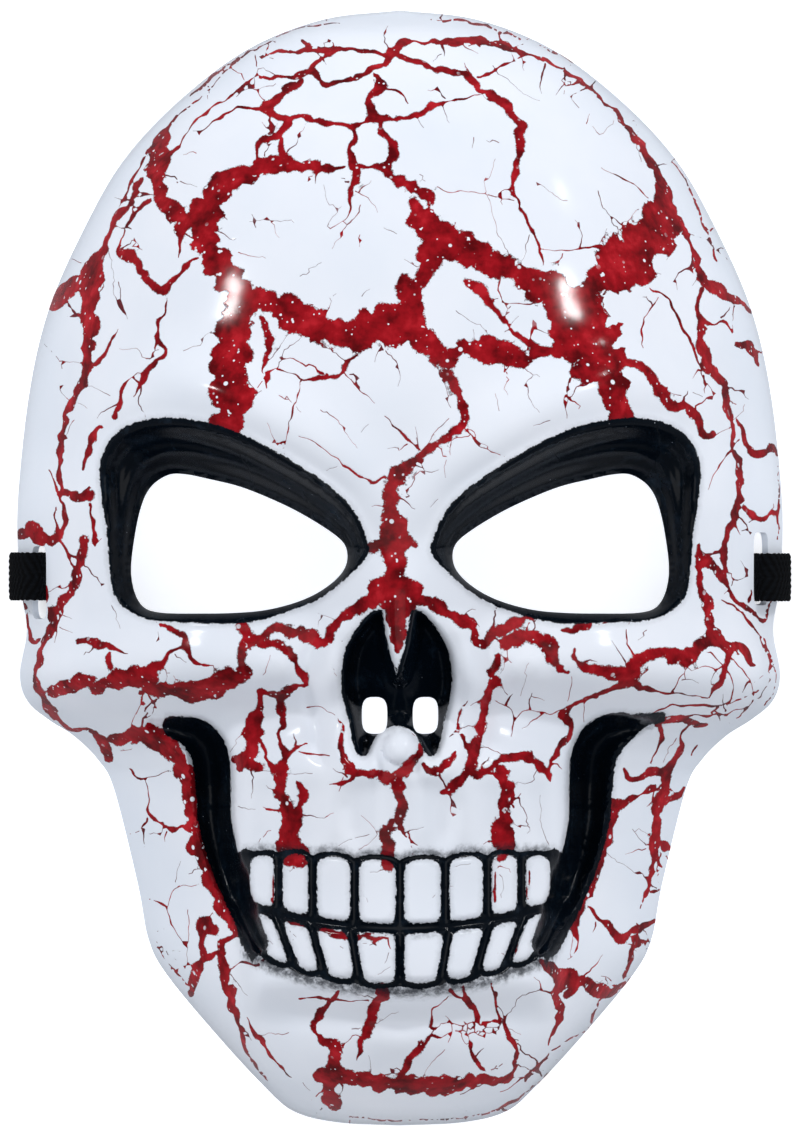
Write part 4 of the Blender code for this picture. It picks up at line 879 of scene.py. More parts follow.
RIGHT_CHEEK_CRACKS = charted([
    [(23.3, -16.9, 2.7), (26.0, -15.8, 2.9), (29.2, -15.1, 2.9), (32.1, -15.6, 3.2),
     (33.9, -17.4, 3.8), (34.1, -19.9, 2.9), (35.7, -22.1, 1.8), (37.7, -23.3, 0.9)],
    [(36.2, -14.0, 1.4), (39.6, -13.6, 1.6), (42.5, -12.4, 2.0)],
    [(44.5, -12.7, 0.5), (48.1, -11.5, 0.9), (50.2, -11.1, 0.7)],
    [(39.1, -18.1, 0.9), (39.3, -20.8, 1.4), (41.1, -22.6, 2.0), (44.3, -23.1, 2.5),
     (47.7, -23.1, 3.8), (51.1, -23.7, 4.7), (52.9, -21.2, 2.9), (55.6, -19.9, 2.9),
     (58.3, -19.0, 3.4), (61.2, -20.1, 3.4), (64.6, -19.7, 3.4), (67.3, -17.6, 3.4),
     (70.3, -16.3, 3.4), (72.8, -17.4, 2.9), (76.8, -18.1, 2.5), (78.6, -20.3, 1.6),
     (79.8, -21.9, 0.9)],
    [(51.1, -25.3, 3.2), (54.2, -26.7, 2.0), (57.6, -27.8, 1.1), (60.6, -28.2, 0.7),
     (63.7, -28.5, 0.5), (69.2, -29.2, 0.5)],
    [(50.2, -26.2, 1.6), (45.2, -28.0, 1.4), (41.8, -29.2, 1.6), (38.9, -30.5, 1.4),
     (36.8, -32.8, 2.5), (38.2, -35.0, 2.0), (38.6, -36.8, 1.6), (36.2, -39.6, 1.8),
     (34.4, -42.5, 1.4), (33.4, -45.4, 1.1), (33.7, -47.9, 0.5)],
    [(73.9, -18.5, 2.0), (73.0, -23.1, 1.8), (71.9, -25.5, 1.4), (70.1, -27.6, 1.1),
     (69.2, -29.4, 0.7)],
    [(58.8, -34.1, 1.8), (63.3, -33.9, 2.3), (66.7, -34.8, 2.0), (69.2, -35.3, 1.1)],
    [(58.3, -34.8, 1.4), (58.8, -38.0, 1.8), (57.6, -40.9, 0.9), (56.5, -43.8, 0.5)],
    [(65.1, -35.3, 0.7), (63.3, -38.0, 0.9), (63.7, -40.2, 1.4), (62.1, -42.9, 1.8),
     (60.6, -45.2, 2.0)],
    [(50.4, -45.2, 0.9), (52.2, -47.0, 1.4), (54.5, -47.0, 1.4), (57.2, -45.7, 2.5),
     (59.4, -45.9, 2.7), (59.7, -49.3, 2.3), (58.5, -51.5, 2.5), (58.1, -54.9, 2.0),
     (58.1, -58.3, 2.3), (57.6, -61.7, 2.9), (57.2, -66.0, 1.6), (56.5, -69.4, 1.4),
     (55.8, -72.5, 1.4), (54.9, -75.0, 1.1), (54.2, -76.8, 0.7)],
    [(46.3, -52.4, 2.0), (49.3, -53.1, 2.5), (52.0, -52.4, 1.4), (54.7, -50.6, 0.9),
     (57.0, -49.5, 1.6)],
    [(59.9, -52.7, 1.6), (62.1, -51.8, 1.6), (64.2, -49.7, 0.9)],
    [(59.7, -62.6, 2.7), (61.0, -63.7, 1.8)],
    [(56.0, -73.2, 1.1), (58.8, -72.5, 0.9)],
    [(48.1, -52.4, 1.4), (47.7, -56.0, 1.8), (47.0, -59.4, 1.8), (46.1, -63.1, 2.0),
     (45.0, -66.7, 2.0), (43.4, -70.5, 2.3), (42.0, -73.9, 2.3), (40.5, -77.3, 2.3),
     (39.1, -80.2, 1.8), (40.0, -83.6, 0.9), (39.6, -85.9, 0.7), (37.7, -87.9, 0.3)],
    [(38.4, -24.4, 0.3), (38.4, -27.6, 0.3), (37.5, -29.8, 0.3)],
    [(67.8, -15.4, 0.7), (72.8, -18.5, 0.5), (76.8, -22.6, 0.5), (79.6, -27.6, 0.5),
     (78.6, -31.4, 0.5), (75.9, -33.9, 0.5)],
    [(75.7, -9.5, 0.5), (79.6, -12.9, 0.7), (82.5, -17.4, 0.5), (84.8, -22.6, 0.5),
     (84.3, -27.6, 0.5), (82.3, -31.0, 0.5)],
    [(72.3, -7.2, 0.5), (76.4, -9.9, 0.7), (80.2, -14.5, 0.5), (82.7, -19.7, 0.7),
     (83.2, -25.3, 0.5), (80.9, -29.4, 0.5)],
    [(54.2, -33.2, 0.5), (59.9, -31.2, 0.7), (65.5, -30.7, 0.7), (71.2, -31.2, 0.7),
     (76.4, -29.8, 0.5), (80.7, -27.6, 0.5)],
    [(57.6, -35.3, 0.9), (63.3, -33.4, 0.9), (68.9, -33.4, 0.7), (74.6, -32.5, 0.5),
     (79.1, -30.7, 0.5)],
    [(69.2, -19.0, 0.5), (73.2, -22.6, 0.5), (75.0, -26.2, 0.5), (74.1, -29.8, 0.5),
     (70.1, -32.5, 0.5)],
    [(65.8, -42.3, 0.7), (67.1, -40.0, 0.5)],
])

JAW_CRACKS = charted([
    [(-43.8, -80.5, 3.4), (-42.0, -81.4, 4.7)],
    [(-31.2, -76.8, 0.9), (-28.0, -78.2, 1.3), (-24.9, -79.1, 1.1), (-21.7, -80.0, 1.1),
     (-18.5, -80.9, 0.9)],
    [(-17.6, -80.5, 1.3), (-14.5, -81.6, 1.7), (-10.8, -82.3, 1.7), (-6.3, -82.7, 1.3),
     (-2.7, -82.7, 0.6)],
    [(-28.9, -67.8, 0.6), (-28.5, -71.4, 0.9), (-28.5, -75.0, 0.9)],
    [(-20.1, -67.8, 0.4), (-20.3, -71.4, 0.6), (-20.6, -74.1, 0.6)],
    [(21.5, -67.8, 0.6), (21.2, -71.4, 0.9), (21.2, -74.6, 0.9)],
    [(28.9, -67.8, 0.6), (28.7, -71.4, 0.9), (28.7, -74.1, 0.6)],
    [(26.7, -80.0, 0.6), (26.2, -84.1, 0.9), (25.5, -86.8, 0.6)],
    [(7.2, -104.4, 0.4), (9.0, -102.6, 0.4), (11.3, -101.7, 0.4), (14.0, -102.6, 0.4),
     (16.5, -101.7, 0.4), (19.0, -102.4, 0.4), (21.2, -101.2, 0.4), (22.8, -101.7, 0.4)],
    [(10.2, -100.3, 0.3), (11.3, -101.7, 0.4), (11.8, -104.0, 0.4), (10.8, -106.2, 0.3)],
    [(14.0, -102.6, 0.4), (13.6, -104.9, 0.4), (14.9, -106.7, 0.3)],
    [(16.5, -101.7, 0.4), (17.2, -104.0, 0.4), (19.0, -105.3, 0.3)],
    [(9.0, -105.3, 0.3), (12.4, -104.0, 0.4), (14.7, -104.6, 0.4), (17.2, -104.0, 0.4),
     (19.9, -104.4, 0.4), (22.1, -103.5, 0.3)],
    [(-44.7, -82.3, 1.5), (-44.5, -85.4, 1.5), (-43.8, -87.7, 1.9), (-41.6, -86.6, 1.9),
     (-40.5, -87.0, 2.1), (-40.2, -84.3, 1.7), (-38.2, -83.2, 1.5), (-36.2, -82.0, 1.5)],
    [(-44.1, -87.9, 1.9), (-45.7, -90.9, 2.4), (-46.6, -94.2, 1.9), (-47.2, -96.3, 1.5)],
    [(-40.2, -87.5, 1.9), (-38.9, -90.4, 2.4), (-38.9, -93.3, 2.8), (-38.4, -96.5, 2.8),
     (-37.3, -99.9, 1.9), (-36.2, -103.3, 1.5), (-35.5, -106.7, 1.1), (-33.9, -110.1, 1.1),
     (-32.1, -113.0, 0.9), (-29.4, -115.9, 0.6)],
    [(-34.4, -101.0, 0.6), (-33.4, -104.0, 1.1), (-31.2, -106.2, 1.3), (-29.4, -108.9, 1.1),
     (-26.9, -111.9, 0.9), (-24.4, -114.6, 0.4)],
    [(-57.0, -74.6, 0.4), (-54.2, -75.7, 0.6), (-52.4, -76.8, 0.6), (-51.5, -80.0, 0.6),
     (-50.2, -82.3, 0.4), (-48.8, -84.8, 0.3)],
    [(-52.4, -76.4, 0.4), (-51.5, -73.2, 0.4), (-49.7, -71.9, 0.4), (-45.9, -71.4, 0.3)],
    [(-38.0, -90.2, 0.4), (-35.5, -88.6, 0.6), (-32.5, -88.8, 0.9), (-30.7, -87.9, 1.1)],
    [(-55.4, -84.1, 0.4), (-52.4, -89.0, 0.6), (-49.7, -92.0, 0.6), (-47.5, -94.2, 0.6)],
    [(-4.1, -94.2, 2.6), (-5.4, -97.2, 2.6), (-6.6, -100.3, 2.4), (-7.2, -103.3, 2.4),
     (-8.6, -105.5, 1.5), (-9.0, -108.5, 0.9), (-9.7, -110.3, 0.4)],
    [(-14.0, -94.9, 1.3), (-15.8, -97.6, 1.5), (-17.6, -99.9, 1.7), (-19.4, -102.6, 1.5),
     (-19.0, -104.6, 1.3), (-17.4, -106.0, 1.7), (-14.7, -107.1, 2.8), (-14.7, -110.3, 3.0),
     (-14.9, -113.5, 3.9), (-16.0, -115.7, 4.3), (-15.6, -118.4, 4.3), (-14.7, -120.5, 3.9)],
    [(-18.1, -114.1, 3.0), (-12.4, -113.9, 2.8), (-9.5, -114.4, 3.9), (-5.4, -115.3, 3.9),
     (0.0, -115.7, 4.3), (5.7, -116.2, 4.1), (10.4, -116.2, 3.6), (14.9, -115.3, 3.6),
     (19.4, -115.0, 3.0), (22.4, -115.5, 1.9), (24.4, -114.6, 1.5), (25.8, -111.9, 1.1),
     (26.2, -108.9, 1.1), (25.1, -106.0, 1.3), (23.7, -103.3, 1.1), (23.3, -100.3, 0.6)],
    [(4.7, -106.7, 1.7), (2.9, -109.2, 1.9), (1.1, -111.4, 1.7), (0.5, -113.0, 1.1)],
    [(5.4, -106.7, 0.9), (6.6, -104.6, 0.9), (8.8, -105.1, 0.6)],
    [(15.8, -106.7, 1.3), (16.9, -110.1, 1.5), (18.8, -112.5, 0.9)],
    [(14.0, -93.6, 1.1), (15.1, -96.5, 1.9), (16.7, -99.4, 1.7), (17.9, -101.9, 0.9)],
    [(11.3, -94.5, 1.1), (12.7, -96.0, 0.9), (14.5, -96.3, 0.9)],
    [(10.8, -95.8, 0.6), (9.0, -97.6, 0.4), (7.2, -98.8, 0.6), (7.2, -101.0, 0.9),
     (7.2, -103.1, 0.9)],
    [(20.3, -92.0, 0.6), (21.0, -95.4, 0.9), (21.7, -98.3, 0.9), (22.4, -101.7, 0.9)],
    [(-22.6, -96.5, 0.6), (-18.5, -96.0, 0.9), (-15.8, -96.7, 1.1), (-12.4, -96.7, 0.6),
     (-9.0, -96.7, 0.4), (-7.2, -96.7, 0.6)],
    [(17.9, -102.2, 0.6), (20.1, -101.7, 0.9), (22.8, -101.7, 0.6)],
    [(31.6, -88.1, 1.9), (33.9, -89.9, 2.8), (37.3, -91.3, 2.8), (40.2, -92.7, 3.0),
     (42.9, -93.8, 2.8), (45.0, -95.8, 2.8), (47.2, -96.0, 1.7), (49.7, -94.2, 1.3),
     (52.2, -92.7, 1.1)],
    [(35.5, -92.4, 1.9), (35.5, -95.8, 1.9), (36.2, -98.8, 1.9), (35.9, -101.7, 1.7),
     (34.6, -104.4, 0.9), (33.4, -107.4, 0.6)],
    [(38.9, -94.0, 2.6), (37.5, -96.0, 1.7)],
    [(45.0, -97.6, 0.6), (43.4, -100.8, 1.1), (42.9, -103.7, 0.9), (39.6, -105.5, 0.6),
     (36.2, -107.4, 0.6), (32.8, -110.1, 0.6), (30.5, -113.0, 1.1), (28.2, -115.7, 0.6)],
    [(29.4, -118.0, 0.6), (36.2, -112.3, 0.9), (42.9, -106.7, 0.6), (48.6, -101.0, 0.6)],
    [(32.8, -116.8, 0.6), (39.6, -111.6, 0.6), (45.2, -105.8, 0.6)],
    [(18.1, -123.6, 0.6), (24.9, -120.9, 0.9), (30.5, -116.8, 0.6)],
    [(4.5, -124.3, 0.6), (11.3, -124.3, 0.6), (18.1, -122.9, 0.6)],
    [(-11.3, -123.6, 0.6), (-4.5, -124.5, 0.6), (2.3, -124.5, 0.6)],
    [(22.6, -118.0, 0.6), (28.2, -114.6, 0.6), (33.4, -110.3, 0.6)],
    [(42.5, -76.2, 0.9), (44.5, -78.9, 1.3), (47.0, -80.7, 1.9), (49.7, -83.2, 2.1),
     (52.4, -82.0, 1.9), (55.4, -80.7, 1.5), (58.3, -79.6, 1.1)],
    [(53.3, -83.6, 2.1), (52.4, -86.3, 1.3), (52.0, -89.0, 1.3), (50.6, -92.2, 1.1)],
    [(54.7, -84.3, 1.3), (57.0, -84.8, 0.6)],
])

# %% [markdown]
# ## Cracks that grow
# From the wide bands run hundreds of fine cracks that nobody needs to place by hand. Each one
# starts at a band or out in the white, walks on with small turns, and thins out to nothing.
# A fixed seed makes the same cracks on each run.

# %% Walk the fine cracks
CRACK_STEP = 0.8


def walk(chance, start, heading, length, half, wander):
    """One fine crack: it steps on, turns a little each time, and thins out."""
    steps = max(4, round(length / CRACK_STEP))
    turns = chance.normal(0, wander, steps)
    kinks = (chance.random(steps) < 0.14) * chance.normal(0, 0.7, steps)
    headings = heading + np.cumsum(0.35 * turns) + kinks + 0.35 * turns
    x = start[0] + np.cumsum(CRACK_STEP * np.cos(headings))
    y = start[1] + np.cumsum(CRACK_STEP * np.sin(headings))
    fade = half * (1 - np.linspace(0, 1, steps) ** 1.5) * chance.uniform(0.7, 1.2, steps)
    return np.stack([x, y, np.maximum(fade, 0.03)], axis=-1)


def grow_cracks(seed, parents, branches, loners):
    """Branches off the charted cracks, twigs off those, and cracks that stand alone."""
    chance = np.random.default_rng(seed)
    fine = []
    weights = np.array([len(line) for line in parents], float)
    for _ in range(branches):
        line = parents[chance.choice(len(parents), p=weights / weights.sum())]
        k = chance.integers(1, len(line) - 1)
        along = line[k + 1] - line[k - 1]
        side = chance.choice([-1, 1])
        heading = math.atan2(along[1], along[0]) + side * chance.uniform(0.6, 1.7)
        length = min(16.0, 2.0 + chance.exponential(3.2))
        start = line[k, :2] + 0.5 * line[k, 2] * np.array([math.cos(heading), math.sin(heading)])
        branch = walk(chance, start, heading, length + line[k, 2], chance.uniform(0.08, 0.26), 0.5)
        fine.append(branch)
        if chance.random() < 0.4:
            m = chance.integers(1, len(branch) - 1)
            twig = heading + chance.choice([-1, 1]) * chance.uniform(0.5, 1.2)
            fine.append(walk(chance, branch[m, :2], twig, length * 0.5, 0.09, 0.5))
    for _ in range(loners):
        start = chance.uniform([-80, -120], [80, 120])
        fine.append(walk(chance, start, chance.uniform(0, 2 * math.pi),
                         3 + chance.exponential(5.0), chance.uniform(0.04, 0.10), 0.35))
    return fine


bands = CROWN_CRACKS + FOREHEAD_CRACKS + RIGHT_TEMPLE_CRACKS + LEFT_TEMPLE_CRACKS
bands += LEFT_CHEEK_CRACKS + NOSE_CRACKS + RIGHT_CHEEK_CRACKS + JAW_CRACKS
fine_cracks = grow_cracks(seed=7, parents=bands, branches=200, loners=240)
print("charted cracks", len(bands), "grown cracks", len(fine_cracks))

# %% [markdown]
# ## A mesh that follows face and paint
# The shell needs close points where the teeth, the nose and the sockets turn sharply, and a
# point on each fine crack, so that its thin line stays whole when its distance is read
# between points. So the plan view is filled with points in order of importance, and a Delaunay
# triangulation joins them.

# %% Loops and rows of points
def beside(line, offset, closed=False):
    """A line moved sideways, to its right for a positive offset."""
    if closed:
        along = np.roll(line, -1, axis=0) - np.roll(line, 1, axis=0)
    else:
        along = np.gradient(line, axis=0)
    along /= np.hypot(along[:, 0], along[:, 1])[:, None] + 1e-9
    return line + offset * np.stack([along[:, 1], -along[:, 0]], axis=-1)


def both_sides(points):
    return np.vstack([points, points * [-1, 1]])


def rounded_box(x, y, half_x, half_y, count, power=6.0):
    """A superellipse: the shape of the nostrils and the strap slots."""
    turn = np.arange(count) / count * 2 * math.pi
    c, s = np.cos(turn), np.sin(turn)
    size = (np.abs(c) ** power + np.abs(s) ** power) ** (-1 / power)
    return np.stack([x + half_x * size * c, y + half_y * size * s], axis=-1)


def hole_loops():
    """Every opening of the shell: eyes, nostrils and strap slots."""
    eye = even(eye_loop, 0.9, closed=True)
    x, y, half_x, half_y = NOSTRIL
    loops = [eye, eye * [-1, 1]]
    loops += [rounded_box(sign * x, y, half_x, half_y, 40, 3.2) for sign in (1, -1)]
    for sign, name in ((1, "right"), (-1, "left")):
        loops.append(rounded_box(sign * SLOT_X, SLOT_Y[name], SLOT_WIDE / 2, SLOT_LONG / 2, 56))
    return loops


def tooth_rows(spacing):
    """Lines of points along each groove between the teeth, at five places across it."""
    across = np.arange(-UPPER_TEETH[-1], UPPER_TEETH[-1] + 0.1, spacing)
    gum, bite, low = tooth_lines(np.abs(across))
    arches = scallop(np.abs(across), UPPER_TEETH, 1.7) * ease(38, 22, np.abs(across))
    lower = np.abs(across) < LOWER_TEETH[-1]
    dips = scallop(np.abs(across), LOWER_TEETH, 1.3)
    rows = [(across, bite), (across, gum - 1.8 + arches),
            (across[lower], (low + 0.9 - dips)[lower])]
    lines = [np.stack(row, axis=-1) for row in rows]
    for x in UPPER_TEETH:
        gum, bite, _ = tooth_lines(np.array(x))
        y = np.arange(bite, gum, spacing)
        lines += [np.stack([np.full_like(y, sign * x), y], axis=-1) for sign in (1, -1)]
    for x in LOWER_TEETH:
        _, bite, low = tooth_lines(np.array(x))
        y = np.arange(low, bite, spacing)
        lean = x + LOWER_LEAN * x * (y + 86)
        lines += [np.stack([sign * lean, y], axis=-1) for sign in (1, -1)]
    return np.vstack([beside(line, offset) for offset in (0, -0.6, 0.6, -1.2, 1.2, -1.8, 1.8)
                      for line in lines])


def hex_grid(spacing):
    """A grid of staggered rows, a little larger than the mask."""
    rows = np.arange(-130.0, 130.0, spacing * math.sqrt(3) / 2)
    across = np.arange(-90.0, 90.0, spacing)
    return np.vstack([np.stack([across + (k % 2) * spacing / 2, np.full(len(across), y)], axis=-1)
                      for k, y in enumerate(rows)])


rim = outline_loop(1.2)
holes = hole_loops()
print("rim points", len(rim), "points round holes", sum(len(loop) for loop in holes))

# %% Keep points apart
def thin_out(groups):
    """Keeps points in order, each at its group's distance or more from those before it."""
    kept, cells = [], {}
    for points, gap in groups:
        for x, y in points.tolist():
            i, j = math.floor(x), math.floor(y)
            around = (cells.get((i + a, j + b), ()) for a in (-1, 0, 1) for b in (-1, 0, 1))
            if all((x - u) ** 2 + (y - v) ** 2 >= gap * gap for block in around for u, v in block):
                kept.append((x, y))
                cells.setdefault((i, j), []).append((x, y))
    return np.array(kept)


def clear_of(points, others, gap):
    """The points that stand at least the gap away from all the others."""
    tree = kdtree.KDTree(len(others))
    for k, (x, y) in enumerate(others.tolist()):
        tree.insert((x, y, 0), k)
    tree.balance()
    return points[[tree.find((x, y, 0))[2] >= gap for x, y in points.tolist()]]


def within_shell(points, margin):
    """The points inside the silhouette and outside every opening."""
    x, y = points.T
    keep = from_rim(x, y) > margin
    for loop in holes:
        keep &= signed(x, y, loop) > margin
    return points[keep]


rim_rows = np.vstack([beside(rim, offset, closed=True)
                      for offset in (0.35, 0.9, 1.6, 2.5, 3.6, 5.0)])
crease_rows = np.vstack(
    [beside(even(nose_loop, 0.8, True), offset, True)
     for offset in (0.6, 0, -0.8, -1.6, -2.4, -3.2)]
    + [both_sides(beside(even(socket_loop, 1.1, True), offset, True))
       for offset in (2.4, 1.4, 0.6, 0, -0.8, -1.6)]
    + [both_sides(beside(even(hollow_line[:, :2], 1.0), offset))
       for offset in (0, -1.1, 1.1, -2.2, 2.2, -3.3, 3.3, -4.4, 4.4)])
hair = np.vstack([line[:, :2] for line in fine_cracks + bands])
banks = np.vstack([beside(line[:, :2], sign * (line[:, 2:] + 0.28))
                   for line in fine_cracks + bands for sign in (1, -1)])
special = thin_out([(within_shell(rim_rows, 0.2), 0.3), (within_shell(tooth_rows(0.6), 0.3), 0.42),
                    (within_shell(crease_rows, 0.3), 0.5), (within_shell(hair, 0.35), 0.34),
                    (within_shell(banks, 0.35), 0.36)])
print("points on rows and cracks", len(special))

# %% Fill in and triangulate
def detailed(points):
    """The parts of the face that need the closest points."""
    x, y = points.T
    mouth = (y < -58) & (y > -97) & (np.abs(x) < 37)
    nose_part = (y < -6) & (y > -48) & (np.abs(x) < 16)
    return points[mouth | nose_part]


def triangulate(points, loops):
    """Triangles between the points, inside the first loop and outside the others."""
    every = np.vstack(loops + [points])
    edges, start = [], 0
    for loop in loops:
        ids = np.arange(start, start + len(loop))
        edges += list(zip(ids.tolist(), np.roll(ids, -1).tolist()))
        start += len(loop)
    verts, _, faces, *_ = delaunay_2d_cdt([Vector(p) for p in every.tolist()], edges, [], 0, 1e-7)
    verts = np.array([list(v) for v in verts])
    faces = np.array(faces)
    centre = verts[faces].mean(axis=1)
    keep = inside(centre[:, 0], centre[:, 1], loops[0])
    for loop in loops[1:]:
        keep &= ~inside(centre[:, 0], centre[:, 1], loop)
    return verts, faces[keep]


loops = [rim] + holes
fixed = np.vstack(loops)
close = clear_of(detailed(within_shell(hex_grid(0.62), 0.3)), np.vstack([fixed, special]), 0.42)
wide = clear_of(within_shell(hex_grid(0.9), 0.5), np.vstack([fixed, special, close]), 0.5)
outer_plan, outer_faces = triangulate(np.vstack([special, close, wide]), loops)
inner_grid = clear_of(within_shell(hex_grid(2.2), 1.0), fixed, 1.2)
inner_plan, inner_faces = triangulate(inner_grid, loops)
print("outer points", len(outer_plan), "inner points", len(inner_plan))

# %% [markdown]
# ## One closed shell
# The front takes its height from the face function. The back lies a wall's thickness behind
# it, and the two are joined round the rim and round each opening, so the mask has the same
# real edge of plastic as the solid in the model.

# %% Raise the plan to a shell
def key(x, y):
    """A place in plan as a name that both layers of the shell share."""
    return round(x, 4), round(y, 4)


def at_rim(plan):
    """Which points lie on the silhouette itself."""
    known = {key(*place) for place in rim.tolist()}
    return np.array([key(*place) in known for place in plan.tolist()])


def raise_outer(plan):
    x, y = plan.T
    return np.column_stack([plan, np.where(at_rim(plan), rim_height(y), face(x, y))])


def raise_inner(plan):
    x, y = plan.T
    mouth = ease(38, 35, np.abs(x)) * ease(-61, -64, y) * ease(-98, -95, y)
    inner = np.column_stack([plan, face(x, y, False) - 1.7 * mouth]) + wall_offset(x, y)
    inward = beside(rim, 1.0, closed=True) - rim
    way = {key(*place): step for place, step in zip(rim.tolist(), inward)}
    for k in np.nonzero(at_rim(plan))[0]:
        step = way[key(x[k], y[k])]
        inner[k] = (x[k] + WALL * step[0], y[k] + WALL * step[1], max(0.0, rim_height(y[k]) - 0.5))
    return inner


def open_edges(faces):
    """Directed edges that only one triangle has."""
    seen = set()
    for a, b, c in faces.tolist():
        seen.update(((a, b), (b, c), (c, a)))
    return [(a, b) for a, b in seen if (b, a) not in seen]


outer, inner = raise_outer(outer_plan), raise_inner(inner_plan)
behind = {key(*place): k + len(outer) for k, place in enumerate(inner_plan.tolist())}
partner = {a: behind[key(*outer_plan[a])] for edge in open_edges(outer_faces) for a in edge}
triangles = outer_faces.tolist() + (inner_faces[:, ::-1] + len(outer)).tolist()
for a, b in open_edges(outer_faces):
    triangles += [(b, a, partner[a]), (b, partner[a], partner[b])]
shell = new_piece("painted_shell", np.vstack([outer, inner]), triangles)
shell.data.shade_smooth()
shell.data.set_sharp_from_angle(angle=math.radians(62))
print("shell triangles", len(triangles))

# %% [markdown]
# ## Distances for the paint
# Paint edges are kept as distances, in millimetres, at each point: how far it is to the edge of
# the nearest crack, how wide that crack is, and how far to the black areas. Distances blend
# well between points, and the material can then add ragged edges finer than the mesh.

# %% Distance to the cracks
def crack_distances(plan, groups):
    """Distance to the nearest crack's edge, its half width, and how dark its line is:
    in each group every other crack or so is a dark hairline."""
    reach = 8.0
    edge = np.full(len(plan), reach)
    girth = np.full(len(plan), 0.3)
    ink = np.zeros(len(plan))
    order = np.argsort(plan[:, 0])
    sorted_x = plan[order, 0]
    for lines, dark in groups:
        for number, line in enumerate(lines):
            pad = reach / 2 + line[:, 2].max()
            lo, hi = line[:, 0].min() - pad, line[:, 0].max() + pad
            some = order[np.searchsorted(sorted_x, lo):np.searchsorted(sorted_x, hi)]
            y = plan[some, 1]
            some = some[(y > line[:, 1].min() - pad) & (y < line[:, 1].max() + pad)]
            away, ride = near(plan[some, 0], plan[some, 1], line)
            distance = away - ride[:, 0]
            closer = distance < edge[some]
            chosen = some[closer]
            edge[chosen] = distance[closer]
            girth[chosen] = ride[closer, 0]
            ink[chosen] = dark * ((number * 7) % 10 < 5)
    return edge, girth, ink


def black_distances(x, y):
    """Distance to the black paint: sockets, nose, cheek grooves and between the teeth."""
    side = np.abs(x)
    wider = np.where(x > 0, 1.1, 0.2)
    away, ride = near(side - wider, y, hollow_line)
    groove = away - 0.8 * ride[:, 0] - 0.4 - wider
    groove = groove + 4 * ease(-52.5, -54.5, x) + 3 * ease(50, 57, x)
    upper = near(x, y, even(RIGHT_GROOVE_TOP, 1.0))
    groove = np.minimum(groove, upper[0] - upper[1][:, 0])

    def closeness(away, depth, _half=0.0):
        """Large near a groove's middle. Their sum joins the grooves with round corners, and
        the groove's half width plays no part in it."""
        return np.exp((depth - np.abs(away)) / 0.8)

    low = tooth_lines(side)[2]
    gaps = 0.62 - 0.8 * np.log(1e-6 + sum(tooth_cuts(side, y, closeness)))
    gaps = gaps + 0.35 * ease(low + 2.4, low + 0.8, y)
    corner = signed(side, y, MOUTH_CORNER)
    tab = near(x, y, SOCKET_TAB)
    hollow = signed(np.abs(x + 0.8), y, nose_loop) - 0.2
    return np.minimum.reduce([signed(side, y, socket_loop), hollow, groove, gaps, corner,
                              tab[0] - tab[1][:, 0]])


def gum_line_grey(x, y):
    """Grey along the upper gum line, just under the bite and under the lower gum line."""
    side = np.abs(x)
    gum, bite, low = tooth_lines(side)
    arches = scallop(side, UPPER_TEETH, 1.7) * ease(38, 22, side)
    upper = 1.1 * bell(y - (gum - 1.2 + arches), 2.0) + 0.8 * bell(y - bite + 1, 2.0)
    lower = 1.5 * bell(y - (low - 1.2), 2.2)
    return np.maximum(upper, lower) * ease(38, 33, side) * ease(-56, -62, y) * ease(-104, -98, y)


RIGHT_GROOVE_TOP = np.array([(46.0, -36.0, 1.6), (52.0, -34.4, 1.6), (58.5, -33.6, 1.3)])
MOUTH_CORNER = np.array([(34.4, -62.6), (39.0, -66.0), (36.0, -84.0), (33.0, -88.5), (31.4, -86.0),
                         (32.2, -80.0), (34.2, -76.0), (34.9, -70.0)])
SOCKET_TAB = np.array([(-61.0, -4.4, 1.2), (-58.6, -8.0, 1.6)])
x, y = outer_plan.T
edge, girth, ink = crack_distances(outer_plan, [(bands, 0.0), (fine_cracks, 1.0)])
normals = np.zeros(3 * len(shell.data.vertices))
shell.data.vertex_normals.foreach_get("vector", normals)
# On a steep wall a millimetre in plan is a longer way on the surface
upright = np.clip(normals.reshape(-1, 3)[:len(outer_plan), 2], 0.22, 1)
back = np.full(len(inner_plan), 9.0)
for name, front in (("crack", edge / upright), ("girth", girth), ("ink", ink),
                    ("black", np.clip(black_distances(x, y), -9, 9)),
                    ("gum_grey", gum_line_grey(x, y))):
    rear = back if name in ("crack", "black") else 0 * back
    set_numbers(shell, name, np.concatenate([front, rear]))
print("share of the front in red", round(float((edge < 0).mean()), 3))

# %% [markdown]
# ## Shader sums written as Python
# A paint material is a long sum of noises and edges. Written node by node it can't be read,
# so one small class wraps a socket: adding or multiplying two of them adds the Math node.

